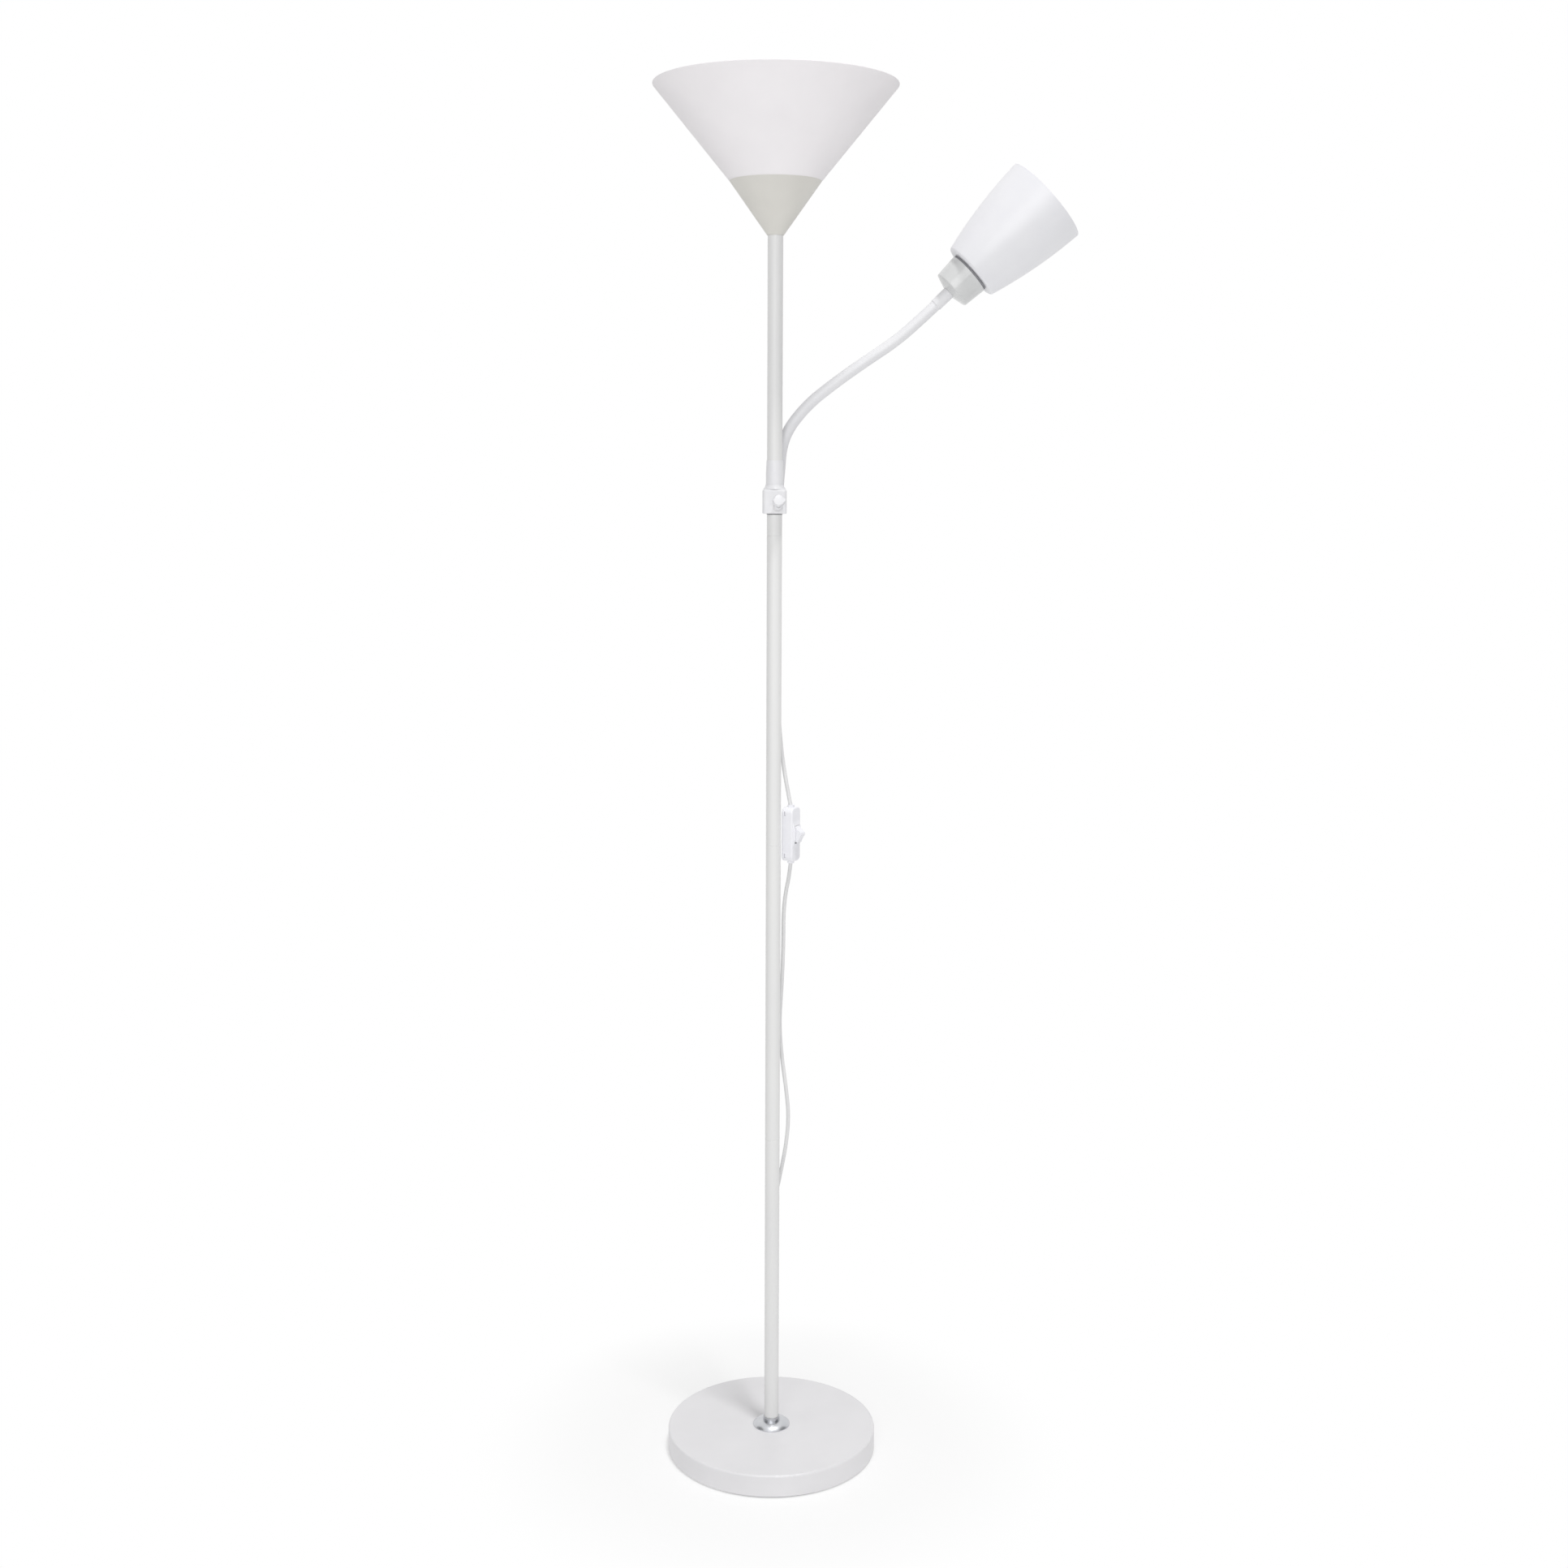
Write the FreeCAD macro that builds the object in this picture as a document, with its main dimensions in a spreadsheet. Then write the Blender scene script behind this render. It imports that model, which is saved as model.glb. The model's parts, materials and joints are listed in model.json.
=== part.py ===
import FreeCAD, Part
import math
import os
import Sketcher

# Torchiere floor lamp with a reading light on a flexible arm.
# Millimetres, Z up. The origin is the centre of the base on the floor. The arm leans to +X in the
# plane Y = arm_y, and the front of the lamp, with the clamp screw, looks to -Y.

Vector = FreeCAD.Vector

SIZES = {
    # Base: a pressed steel cover over a cast iron weight on a felt pad
    "base_radius": 138.5,
    "base_height": 30.8,
    "base_sheet": 1.0,
    "base_edge_round": 2.5,
    "pad_thickness": 2.0,
    "pad_inset": 3.0,
    "weight_gap": 0.5,
    "weight_plate": 6.0,
    "weight_rim_width": 8.0,
    "weight_rim_height": 14.0,
    "weight_boss_radius": 22.0,
    "rib_count": 6,
    "rib_width": 5.0,
    "rib_drop": 5.0,
    "nut_recess_radius": 14.0,
    "lead_channel_width": 8.0,
    "lead_channel_depth": 4.0,
    # Hollow threaded rods that clamp the base and the upper lamp holder to the pole
    "rod_radius": 5.0,
    "rod_bore": 3.2,
    "rod_hole_gap": 0.3,
    "thread_gap": 0.05,
    "rod_end": 0.5,
    "rod_over_plug": 2.0,
    "nut_flats": 17.0,
    "nut_height": 3.0,
    "washer_radius": 13.0,
    "washer_height": 1.5,
    # Chrome collar at the foot of the pole
    "collar_radius": 24.5,
    "collar_edge": 1.2,
    "collar_dome_rise": 5.7,
    "collar_dome_round": 15.0,
    "collar_neck_radius": 10.9,
    "collar_neck": 5.3,
    "collar_seat": 7.2,
    # Pole
    "pole_radius": 9.5,
    "pole_wall": 1.0,
    "pole_play": 0.3,
    "pole_chamfer": 0.3,
    "section_length": 394.0,
    "top_section_length": 363.5,
    "plug_gap": 0.1,
    "plug_length": 20.0,
    "coupler_length": 44.0,
    "coupler_bore": 4.0,
    "pole_lead_radius": 2.6,
    # Cup under the large shade
    "cup_foot_radius": 10.2,
    "cup_radius": 56.15,
    "cup_height": 63.7,
    "cup_wall": 1.5,
    "cup_floor": 2.0,
    # Large shade
    "shade_radius": 150.0,
    "shade_height": 112.8,
    "shade_wall": 2.6,
    "shade_floor": 2.0,
    "shade_rim_round": 0.9,
    "shade_lip": 3.7,
    "shade_lip_width": 1.6,
    "seat_gap": 0.4,
    # Upper lamp holder, for an E27 cap
    "main_shell_bore": 13.1,
    "main_shell_length": 20.7,
    "main_skirt_radius": 19.8,
    "main_skirt_wall": 2.2,
    "main_skirt_above": 13.8,
    "main_skirt_below": 35.2,
    "main_flange_radius": 24.0,
    "main_cap_length": 18.0,
    "main_insert_height": 15.3,
    "main_ring_radius": 29.0,
    "main_ring_height": 7.0,
    "shell_wall": 0.5,
    "holder_thread_length": 10.0,
    "flange_thickness": 2.0,
    "contact_height": 3.0,
    "contact_recess": 3.3,
    # Clamp on the pole
    "clamp_height": 1247.2,
    "block_height": 30.2,
    "block_half_width": 15.1,
    "block_front": 14.5,
    "block_corner": 4.5,
    "block_left_depth": 2.0,
    "block_shoulder_round": 6.0,
    "block_top_round": 3.0,
    "block_bottom_round": 1.5,
    "arm_x": 4.3,
    "arm_y": 19.5,
    "arm_hole_depth": 22.0,
    "arm_hole_gap": 0.1,
    "lead_hole_radius": 4.2,
    "lead_bush_flange": 5.6,
    "lead_bush_drop": 12.2,
    "bush_play": 0.06,
    "bush_wall": 1.04,
    "bush_neck": 35.2,
    "bush_neck_wall": 1.24,
    "bush_top_wall": 0.5,
    "bush_neck_taper": 17.0,
    "bush_flange_radius": 12.6,
    "bush_flange_height": 2.0,
    "bush_end_gap": 0.3,
    # Clamp screw
    "screw_radius": 2.5,
    "screw_play": 0.08,
    "screw_azimuth": 12.0,
    "screw_rise": 25.0,
    "screw_level": 0.9,
    "screw_start": 13.4,
    "screw_length": 12.6,
    "wing_start": 22.0,
    "wing_hub_radius": 4.4,
    "wing_height": 11.0,
    "wing_span": 12.0,
    "wing_thickness": 2.8,
    "wing_roll": 25.0,
    # Flexible arm
    "neck_radius": 7.0,
    "neck_bore": 3.5,
    "neck_joint_gap": 0.3,
    "neck_lean": 4.7,
    "neck_stub": 40.1,
    "neck_link": 46.5,
    "neck_bend_1": 31.9,
    "neck_bend_2": 15.0,
    "neck_bend_3": 3.4,
    "neck_bend_4": 1.7,
    "neck_bend_5": -8.4,
    "neck_bend_6": -1.7,
    # Reading light, measured along its own axis from the end of the arm
    "ferrule_radius": 7.3,
    "ferrule_length": 16.0,
    "reading_rod_in": 8.5,
    "reading_rod_out": 14.0,
    "holder_boss_radius": 11.0,
    "holder_dome": 4.0,
    "holder_rear_radius": 25.2,
    "holder_front_radius": 27.8,
    "holder_length": 29.0,
    "holder_wall": 2.0,
    "holder_round": 2.6,
    "holder_gap": 3.0,
    "reading_flange_radius": 22.0,
    "reading_flange_height": 3.0,
    "reading_skirt_radius": 13.9,
    "reading_skirt_wall": 2.3,
    "reading_skirt_above": 26.0,
    "reading_skirt_below": 14.0,
    "reading_base_length": 10.0,
    "reading_base_floor": 4.0,
    "reading_insert_height": 15.3,
    "reading_shell_bore": 6.9,
    "reading_shell_length": 20.7,
    "reading_ring_radius": 19.0,
    "reading_ring_height": 6.0,
    "reading_shade_rear": 37.5,
    "reading_shade_rim": 57.8,
    "reading_shade_length": 125.5,
    "reading_shade_bulge": 588.0,
    "reading_shade_wall": 2.0,
    "reading_shade_round": 3.5,
    # In-line switch, in its own frame: its rocker looks to +X
    "switch_x": 22.5,
    "switch_y": 9.0,
    "switch_z": 839.0,
    "switch_turn": -30.0,
    "switch_half_length": 35.0,
    "switch_half_width": 11.0,
    "switch_depth": 8.0,
    "switch_corner": 6.5,
    "switch_edge_round": 1.8,
    "switch_wall": 2.2,
    "switch_hump_height": 2.5,
    "switch_hump_half_length": 28.0,
    "switch_hump_top": 6.0,
    "switch_hump_bow": 100.0,
    "switch_hump_half_width": 9.2,
    "switch_hump_round": 1.2,
    "nub_radius": 4.4,
    "nub_length": 3.0,
    "rocker_half_length": 10.8,
    "rocker_half_width": 5.5,
    "rocker_peak": 10.4,
    "rocker_shoulder": 3.0,
    "rocker_root": 4.0,
    "rocker_tip": 10.0,
    "rocker_gap": 0.4,
    "pivot_level": 7.8,
    "pivot_radius": 1.2,
    "pivot_play": 0.06,
    "pivot_in": 1.6,
    "contact_gap": 0.5,
    "snap_station": 27.5,
    # Cords and their entries
    "cord_radius": 2.5,
    "inlet_height": 270.0,
    "inlet_length": 30.0,
    "inlet_radius": 4.6,
    "inlet_y": 13.8,
    "gland_height": 12.0,
    "gland_radius": 5.5,
    "gland_bore": 3.0,
    "gland_bore_depth": 4.0,
}

# Routes of the lead, from the clamp to the switch and from the switch to the inlet in the pole
UPPER_ROUTE = [
    (4.3, 19.5, 1235.0),
    (4.3, 19.5, 1190.0),
    (4.9, 18.8, 1132.0),
    (4.2, 18.0, 1072.0),
    (5.0, 17.2, 1014.0),
    (7.8, 15.6, 968.0),
    (11.8, 13.8, 932.0),
    (16.4, 11.7, 904.0),
    (22.0, 9.2, 875.5),
]
LOWER_ROUTE = [
    (22.5, 9.0, 802.5),
    (20.6, 9.8, 783.0),
    (16.0, 11.6, 761.0),
    (13.4, 13.2, 733.0),
    (13.5, 14.0, 688.0),
    (11.8, 14.6, 640.0),
    (8.4, 15.2, 586.0),
    (11.8, 14.8, 540.0),
    (17.6, 13.6, 499.0),
    (21.6, 12.8, 460.0),
    (18.6, 13.6, 422.0),
    (12.0, 15.4, 384.0),
    (5.4, 15.6, 352.0),
    (1.4, 14.6, 324.0),
    (0.0, 13.8, 299.0),
]

doc = FreeCAD.newDocument("torchiere_floor_lamp")
sheet = doc.addObject("Spreadsheet::Sheet", "sizes")
for row, (alias, amount) in enumerate(SIZES.items(), start=1):
    sheet.set(f"A{row}", alias)
    sheet.set(f"B{row}", str(amount))
    sheet.setAlias(f"B{row}", alias)
doc.recompute()

PARTS = []


class Size:
    """A length worked out from the sheet: its value, and the expression that a feature is bound to."""

    def __init__(self, value, text):
        self.value = value
        self.text = text

    @staticmethod
    def of(other):
        return other if isinstance(other, Size) else Size(float(other), f"({float(other)})")

    def __add__(self, other):
        other = Size.of(other)
        return Size(self.value + other.value, f"({self.text} + {other.text})")

    def __sub__(self, other):
        other = Size.of(other)
        return Size(self.value - other.value, f"({self.text} - {other.text})")

    def __mul__(self, other):
        other = Size.of(other)
        return Size(self.value * other.value, f"({self.text} * {other.text})")

    def __truediv__(self, other):
        other = Size.of(other)
        return Size(self.value / other.value, f"({self.text} / {other.text})")

    def __neg__(self):
        return Size(-self.value, f"(-{self.text})")

    def __float__(self):
        return self.value

    __radd__ = __add__


def size(alias):
    return Size(float(sheet.get(alias)), f"sizes.{alias}")


def number(alias):
    return float(sheet.get(alias))


def bind(thing, prop, value):
    """Sets a property, and binds it to the sheet where the value comes from there."""
    if isinstance(value, Size):
        thing.setExpression(prop, value.text)
    else:
        setattr(thing, prop, value)


def keep(piece, node):
    """The piece is a finished sub-part: its label is its node's name."""
    piece.Label = node
    PARTS.append(piece)
    return piece


def place(piece, x=0.0, y=0.0, z=0.0):
    """Puts a piece at a point, bound to the sheet where a coordinate comes from there."""
    piece.Placement.Base = Vector(float(x), float(y), float(z))
    for axis, value in zip("xyz", (x, y, z)):
        if isinstance(value, Size):
            piece.setExpression(f"Placement.Base.{axis}", value.text)
    return piece


# ---------------------------------------------------------------------------
# Sketches and features
# ---------------------------------------------------------------------------


def new_body(name):
    return doc.addObject("PartDesign::Body", name)


def new_sketch(body, plane, offset=0.0):
    """A sketch on one of the body's own planes, moved along that plane's normal."""
    sketch = body.newObject("Sketcher::SketchObject", f"{body.Name}_sketch")
    origin_plane = [f for f in body.Origin.OriginFeatures if f.Role == plane][0]
    sketch.AttachmentSupport = [(origin_plane, "")]
    sketch.MapMode = "FlatFace"
    sketch.AttachmentOffset = FreeCAD.Placement(Vector(0, 0, float(offset)), FreeCAD.Rotation())
    if isinstance(offset, Size):
        sketch.setExpression("AttachmentOffset.Base.z", offset.text)
    return sketch


def fix(sketch, kind, items, value):
    """Adds a dimension to a sketch and binds it."""
    index = sketch.addConstraint(Sketcher.Constraint(kind, *items, float(value)))
    if isinstance(value, Size):
        sketch.setExpression(f"Constraints[{index}]", value.text)


def fix_point(sketch, edge, end, across, up):
    """Fixes one end of an edge by its two coordinates."""
    for kind, value, axis in (("DistanceX", across, -2), ("DistanceY", up, -1)):
        if isinstance(value, Size):
            fix(sketch, kind, (-1, 1, edge, end), value)
        elif value == 0:
            sketch.addConstraint(Sketcher.Constraint("PointOnObject", edge, end, axis))
        else:
            fix(sketch, kind, (-1, 1, edge, end), value)


def arc_between(start, end, radius):
    """The short arc from start to end. A positive radius turns left, a negative one right."""
    chord = end - start
    half = chord.Length / 2
    side = Vector(-chord.y, chord.x, 0).normalize()
    reach = math.sqrt(max(radius * radius - half * half, 0.0))
    centre = start + chord * 0.5 + side * math.copysign(reach, radius)
    first, last = (start, end) if radius > 0 else (end, start)
    angle = [math.atan2(p.y - centre.y, p.x - centre.x) for p in (first, last)]
    circle = Part.Circle(centre, Vector(0, 0, 1), abs(radius))
    return Part.ArcOfCircle(circle, angle[0], angle[1])


def draw(sketch, corners):
    """Draws a closed outline. A corner is (across, up) after a straight edge, or (across, up,
    radius) after an arc."""
    count = len(corners)
    points = [Vector(float(c[0]), float(c[1]), 0) for c in corners]
    ends = []
    for index in range(count):
        follow = (index + 1) % count
        if len(corners[follow]) == 3:
            radius = corners[follow][2]
            sketch.addGeometry(arc_between(points[index], points[follow], float(radius)), False)
            ends.append((1, 2) if float(radius) > 0 else (2, 1))
        else:
            sketch.addGeometry(Part.LineSegment(points[index], points[follow]), False)
            ends.append((1, 2))
    for index in range(count):
        follow = (index + 1) % count
        items = (index, ends[index][1], follow, ends[follow][0])
        sketch.addConstraint(Sketcher.Constraint("Coincident", *items))
    for index, corner in enumerate(corners):
        fix_point(sketch, index, ends[index][0], corner[0], corner[1])
        radius = corners[(index + 1) % count][2:]
        if radius:
            bend = radius[0] if float(radius[0]) > 0 else -radius[0]
            fix(sketch, "Radius", (index,), bend)
    return sketch


def outline(body, plane, corners, offset=0.0):
    return draw(new_sketch(body, plane, offset), corners)


def box_corners(left, low, right, high):
    return [(left, low), (right, low), (right, high), (left, high)]


def revolve(body, corners):
    """A half section (radius, height) turned about the body's own upright axis."""
    sketch = outline(body, "XZ_Plane", corners)
    feature = body.newObject("PartDesign::Revolution", f"{body.Name}_turned")
    feature.Profile = sketch
    feature.ReferenceAxis = (sketch, ["V_Axis"])
    feature.Angle = 360.0
    return feature


def turned(node, corners):
    """A round piece with its own file."""
    body = new_body(node)
    revolve(body, corners)
    return keep(body, node)


def pad(body, sketch, length, both=False, reverse=False):
    feature = body.newObject("PartDesign::Pad", f"{body.Name}_pad")
    feature.Profile = sketch
    feature.SideType = "Symmetric" if both else "One side"
    feature.Reversed = reverse
    bind(feature, "Length", length)
    return feature


def pocket(body, sketch, length=None, both=False, reverse=False):
    """Cuts a sketch out of the body, to a depth or right through, and checks that it did cut."""
    doc.recompute()
    before = body.Shape.Volume
    feature = body.newObject("PartDesign::Pocket", f"{body.Name}_pocket")
    feature.Profile = sketch
    feature.SideType = "Symmetric" if both else "One side"
    feature.Reversed = reverse
    if length is None:
        feature.Type = "ThroughAll"
    else:
        bind(feature, "Length", length)
    doc.recompute()
    if body.Shape.Volume > before - 1e-6:
        raise ValueError(f"a pocket in {body.Name} cuts nothing")
    return feature


def round_edges(body, radius, wanted):
    """Rounds the edges of the body that the test picks."""
    doc.recompute()
    tip = body.Tip
    names = [f"Edge{i}" for i, edge in enumerate(tip.Shape.Edges, start=1) if wanted(edge)]
    if not names:
        raise ValueError(f"no edge to round on {body.Name}")
    feature = body.newObject("PartDesign::Fillet", f"{body.Name}_round")
    feature.Base = (tip, names)
    bind(feature, "Radius", radius)
    doc.recompute()
    return feature


def ring_at(radius, height):
    """Picks the round edge of that radius at that height."""

    def wanted(edge):
        curve = edge.Curve
        if not isinstance(curve, Part.Circle):
            return False
        return abs(curve.Radius - float(radius)) < 1e-4 and abs(curve.Center.z - float(height)) < 1e-4

    return wanted


def cylinder(name, radius, height, base=(0.0, 0.0, 0.0)):
    solid = doc.addObject("Part::Cylinder", name)
    bind(solid, "Radius", radius)
    bind(solid, "Height", height)
    return place(solid, *base)


def block(name, length, width, height, base=(0.0, 0.0, 0.0)):
    solid = doc.addObject("Part::Box", name)
    bind(solid, "Length", length)
    bind(solid, "Width", width)
    bind(solid, "Height", height)
    return place(solid, *base)


def fuse(name, pieces):
    joined = doc.addObject("Part::MultiFuse", name)
    joined.Shapes = pieces
    return joined


def cut(name, base, tool):
    result = doc.addObject("Part::Cut", name)
    result.Base = base
    result.Tool = tool
    doc.recompute()
    if result.Shape.Volume > base.Shape.Volume - 1e-6:
        raise ValueError(f"a cut in {name} cuts nothing")
    return result


def hex_nut(node, height_at):
    """A thin locknut on a hollow rod."""
    prism = doc.addObject("Part::Prism", f"{node}_hexagon")
    prism.Polygon = 6
    prism.setExpression("Circumradius", "sizes.nut_flats / sqrt(3)")
    bind(prism, "Height", size("nut_height"))
    place(prism, z=height_at)
    hole = cylinder(f"{node}_hole", ROD_THREAD, size("nut_height"), (0, 0, height_at))
    return keep(cut(node, prism, hole), node)


def washer_corners(bore, radius, low, high):
    return [(bore, low), (radius, low), (radius, high), (bore, high)]


# ---------------------------------------------------------------------------
# Levels and radii that several pieces share
# ---------------------------------------------------------------------------

ROD_THREAD = size("rod_radius") + size("thread_gap")
ROD_HOLE = size("rod_radius") + size("rod_hole_gap")
POLE_BORE = size("pole_radius") - size("pole_wall")
PLUG_RADIUS = POLE_BORE - size("plug_gap")

RECESS_TOP = size("pad_thickness") + size("washer_height") + size("nut_height") + size("rod_end") * 2
NUT_TOP = RECESS_TOP - size("washer_height")
NUT_BOTTOM = NUT_TOP - size("nut_height")
POLE_BOTTOM = size("base_height") + size("collar_seat")
JOINTS = [POLE_BOTTOM + size("section_length") * count for count in (1, 2, 3)]
POLE_TOP = JOINTS[2] + size("top_section_length")
SHADE_FOOT = POLE_TOP + size("cup_height")

MAIN_SKIRT_BORE = size("main_skirt_radius") - size("main_skirt_wall")
MAIN_SKIRT_BOTTOM = SHADE_FOOT - size("main_skirt_below")
MAIN_CAP_BOTTOM = MAIN_SKIRT_BOTTOM - size("main_cap_length")
MAIN_INSERT_BOTTOM = MAIN_SKIRT_BOTTOM + size("holder_thread_length")
MAIN_SHELL_BOTTOM = MAIN_INSERT_BOTTOM + size("main_insert_height")
CONTACT_SHARE = 0.45
CONTACT_TIP_SHARE = 0.2
SKIRT_LIP = 2.0
CAP_BOSS = 3.0
CAP_BOSS_HEIGHT = 4.0
CAP_FLOOR = 6.0
CAP_SHOULDER = 12.0
CAP_FLOOR_STEP = 1.0
READING_BASE_WALL = 2.2

GLAND_HOLE_STEP = 1.1
GLAND_GROOVE = 1.3
GLAND_NUT = 2.4
GLAND_FLANGE = 2.1
GLAND_EASE = 0.6
GLAND_SEAT = 0.1

BUSH_BORE = size("pole_radius") + size("bush_play")
BUSH_RADIUS = BUSH_BORE + size("bush_wall")
BLOCK_BORE = BUSH_RADIUS + size("bush_play")

LEAD_BUSH_BORE = 2.0
LEAD_BUSH_TAPER = 0.9
LEAD_BUSH_SHOULDER = 0.5
LEAD_BUSH_FLANGE = 2.0
LEAD_BUSH_PLUG = 5.0

# The butterfly head's outline, as shares of its hub, span and height
WING_HUB_TAPER = 0.8
WING_HUB_SHARE = 0.62
LOBE_LIFT = 0.6
LOBE_ROOT_SHARE = 0.7
LOBE_FOOT_SHARE = 1.05
LOBE_TIP_SHARE = 0.94
LOBE_TIP_LEVEL = 0.52
LOBE_TOP_SHARE = 0.72
LOBE_ROUND_SHARE = 0.32
LOBE_ROOT_LEVEL = 0.56

# The switch's snap tongues and the slots for them, and its contact strips
SNAP_WIDTH = 4.0
SLOT_WIDTH = 5.0
SLOT_DEPTH = 1.8
SNAP_BACK = -4.0
TONGUE_REACH = 9.8
TONGUE_THICK = 1.0
TONGUE_GAP = 0.2
NOSE_SIDE = 1.2
NOSE_BACK = -3.8
STRIP_WIDTH = 5.0
STRIP_THICK = 0.8
STRIP_LENGTH = 18.0
STRIP_START = 6.0
POST_THICK = 1.0
POST_SHORT = 2.2


# ---------------------------------------------------------------------------
# Base
# ---------------------------------------------------------------------------


def base_cover():
    """Drawn steel shell: a flat top with a rounded edge, a straight wall, and a hole for the gland."""
    radius = size("base_radius")
    top = size("base_height")
    inner = radius - size("base_sheet")
    body = new_body("base_shell")
    corners = [
        (ROD_HOLE, top - size("base_sheet")),
        (inner, top - size("base_sheet")),
        (inner, size("pad_thickness")),
        (radius, size("pad_thickness")),
        (radius, top),
        (ROD_HOLE, top),
    ]
    revolve(body, corners)
    round_edges(body, size("base_edge_round"), ring_at(radius, top))
    inside_round = size("base_edge_round") - size("base_sheet")
    round_edges(body, inside_round, ring_at(inner, top - size("base_sheet")))
    hole = cylinder("gland_hole", size("gland_radius") - GLAND_HOLE_STEP, size("base_sheet") * 8)
    hole.Placement = FreeCAD.Placement(
        Vector(0, number("base_radius") - 6 * number("base_sheet"), number("gland_height")),
        FreeCAD.Rotation(Vector(1, 0, 0), -90),
    )
    hole.setExpression("Placement.Base.y", "sizes.base_radius - 6 * sizes.base_sheet")
    hole.setExpression("Placement.Base.z", "sizes.gland_height")
    keep(cut("base_cover", body, hole), "base_cover")


def base_weight():
    """Cast iron disc with a rim, a central boss and tapering ribs. A recess under the boss takes the
    nut, and a channel leads from it to an opening behind the gland."""
    low = size("pad_thickness")
    plate = low + size("weight_plate")
    radius = size("base_radius") - size("base_sheet") - size("weight_gap")
    rim = radius - size("weight_rim_width")
    rim_top = low + size("weight_rim_height")
    boss_top = size("base_height") - size("base_sheet")
    boss = size("weight_boss_radius")
    body = new_body("base_weight")
    corners = [
        (ROD_HOLE, RECESS_TOP),
        (size("nut_recess_radius"), RECESS_TOP),
        (size("nut_recess_radius"), low),
        (radius, low),
        (radius, rim_top),
        (rim, rim_top),
        (rim, plate),
        (boss, plate),
        (boss, boss_top),
        (ROD_HOLE, boss_top),
    ]
    revolve(body, corners)
    rib = [
        (boss - 2.0, plate - 1.0),
        (rim + 1.0, plate - 1.0),
        (rim + 1.0, plate + 2.0),
        (boss - 2.0, boss_top - size("rib_drop")),
    ]
    rib_pad = pad(body, outline(body, "XZ_Plane", rib), size("rib_width"), both=True)
    doc.recompute()
    ribs = body.newObject("PartDesign::PolarPattern", "base_weight_ribs")
    ribs.Originals = [rib_pad]
    ribs.Axis = ([f for f in body.Origin.OriginFeatures if f.Role == "Z_Axis"][0], [""])
    ribs.Angle = 360.0
    ribs.setExpression("Occurrences", "sizes.rib_count")
    body.Tip = ribs
    half = size("lead_channel_width") / 2
    channel = box_corners(-half, size("nut_recess_radius") - 2.0, half, radius - 10.0)
    pocket(body, outline(body, "XY_Plane", channel), low + size("lead_channel_depth"), reverse=True)
    half = size("gland_radius") * 1.8
    opening = box_corners(-half, rim - 10.0, half, radius + 1.0)
    pocket(body, outline(body, "XY_Plane", opening), reverse=True)
    keep(body, "base_weight")


def base_fixings():
    """Felt pad, washer, nut and hollow rod under the base."""
    pad_radius = size("base_radius") - size("pad_inset")
    keep(cylinder("base_pad", pad_radius, size("pad_thickness")), "base_pad")
    turned("base_washer", washer_corners(ROD_HOLE, size("washer_radius"), NUT_TOP, RECESS_TOP))
    hex_nut("base_nut", NUT_BOTTOM)
    plug_bottom = POLE_BOTTOM + size("rod_end")
    plug_top = plug_bottom + size("plug_length")
    low = NUT_BOTTOM - size("rod_end")
    high = plug_top + size("rod_over_plug")
    turned("foot_nipple", washer_corners(size("rod_bore"), size("rod_radius"), low, high))
    turned("foot_plug", washer_corners(ROD_THREAD, PLUG_RADIUS, plug_bottom, plug_top))


def base_collar():
    """Chrome collar: a thin edge, a convex dome and a neck round the foot of the pole."""
    edge = size("collar_radius")
    neck = size("collar_neck_radius")
    bore = size("pole_radius") + size("pole_play")
    dome_top = size("collar_edge") + size("collar_dome_rise")
    top = dome_top + size("collar_neck")
    corners = [
        (ROD_HOLE, 0.0),
        (edge, 0.0),
        (edge, size("collar_edge")),
        (neck, dome_top, size("collar_dome_round")),
        (neck, top),
        (bore, top),
        (bore, size("collar_seat")),
        (ROD_HOLE, size("collar_seat")),
    ]
    place(turned("base_collar", corners), z=size("base_height"))


def mains_gland():
    """Snap-in gland at the back of the base, with a blind bore where a lead goes in."""
    outer = size("gland_radius")
    neck = outer - GLAND_GROOVE
    flange_low = -size("base_sheet") - GLAND_NUT
    bore_end = -size("gland_bore_depth") + GLAND_FLANGE
    bore = size("gland_bore")
    corners = [
        (0.0, flange_low),
        (outer - GLAND_EASE, flange_low),
        (outer, -size("base_sheet") - GLAND_SEAT * 4),
        (neck, -size("base_sheet") - GLAND_SEAT * 3),
        (neck, GLAND_SEAT),
        (outer, GLAND_SEAT),
        (outer - GLAND_EASE + GLAND_SEAT, GLAND_FLANGE),
        (bore, GLAND_FLANGE),
        (bore, bore_end),
        (0.0, bore_end),
    ]
    gland = turned("mains_gland", corners)
    gland.Placement = FreeCAD.Placement(
        Vector(0, number("base_radius"), number("gland_height")),
        FreeCAD.Rotation(Vector(1, 0, 0), -90),
    )
    gland.setExpression("Placement.Base.y", "sizes.base_radius")
    gland.setExpression("Placement.Base.z", "sizes.gland_height")


# ---------------------------------------------------------------------------
# Pole
# ---------------------------------------------------------------------------


def pole_tube(node, bottom, length):
    """A tube with small chamfers at its ends, which show as a fine line at each joint."""
    radius = size("pole_radius")
    small = size("pole_chamfer")
    corners = [
        (POLE_BORE, 0.0),
        (radius - small, 0.0),
        (radius, small),
        (radius, length - small),
        (radius - small, length),
        (POLE_BORE, length),
    ]
    place(turned(node, corners), z=bottom)


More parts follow.
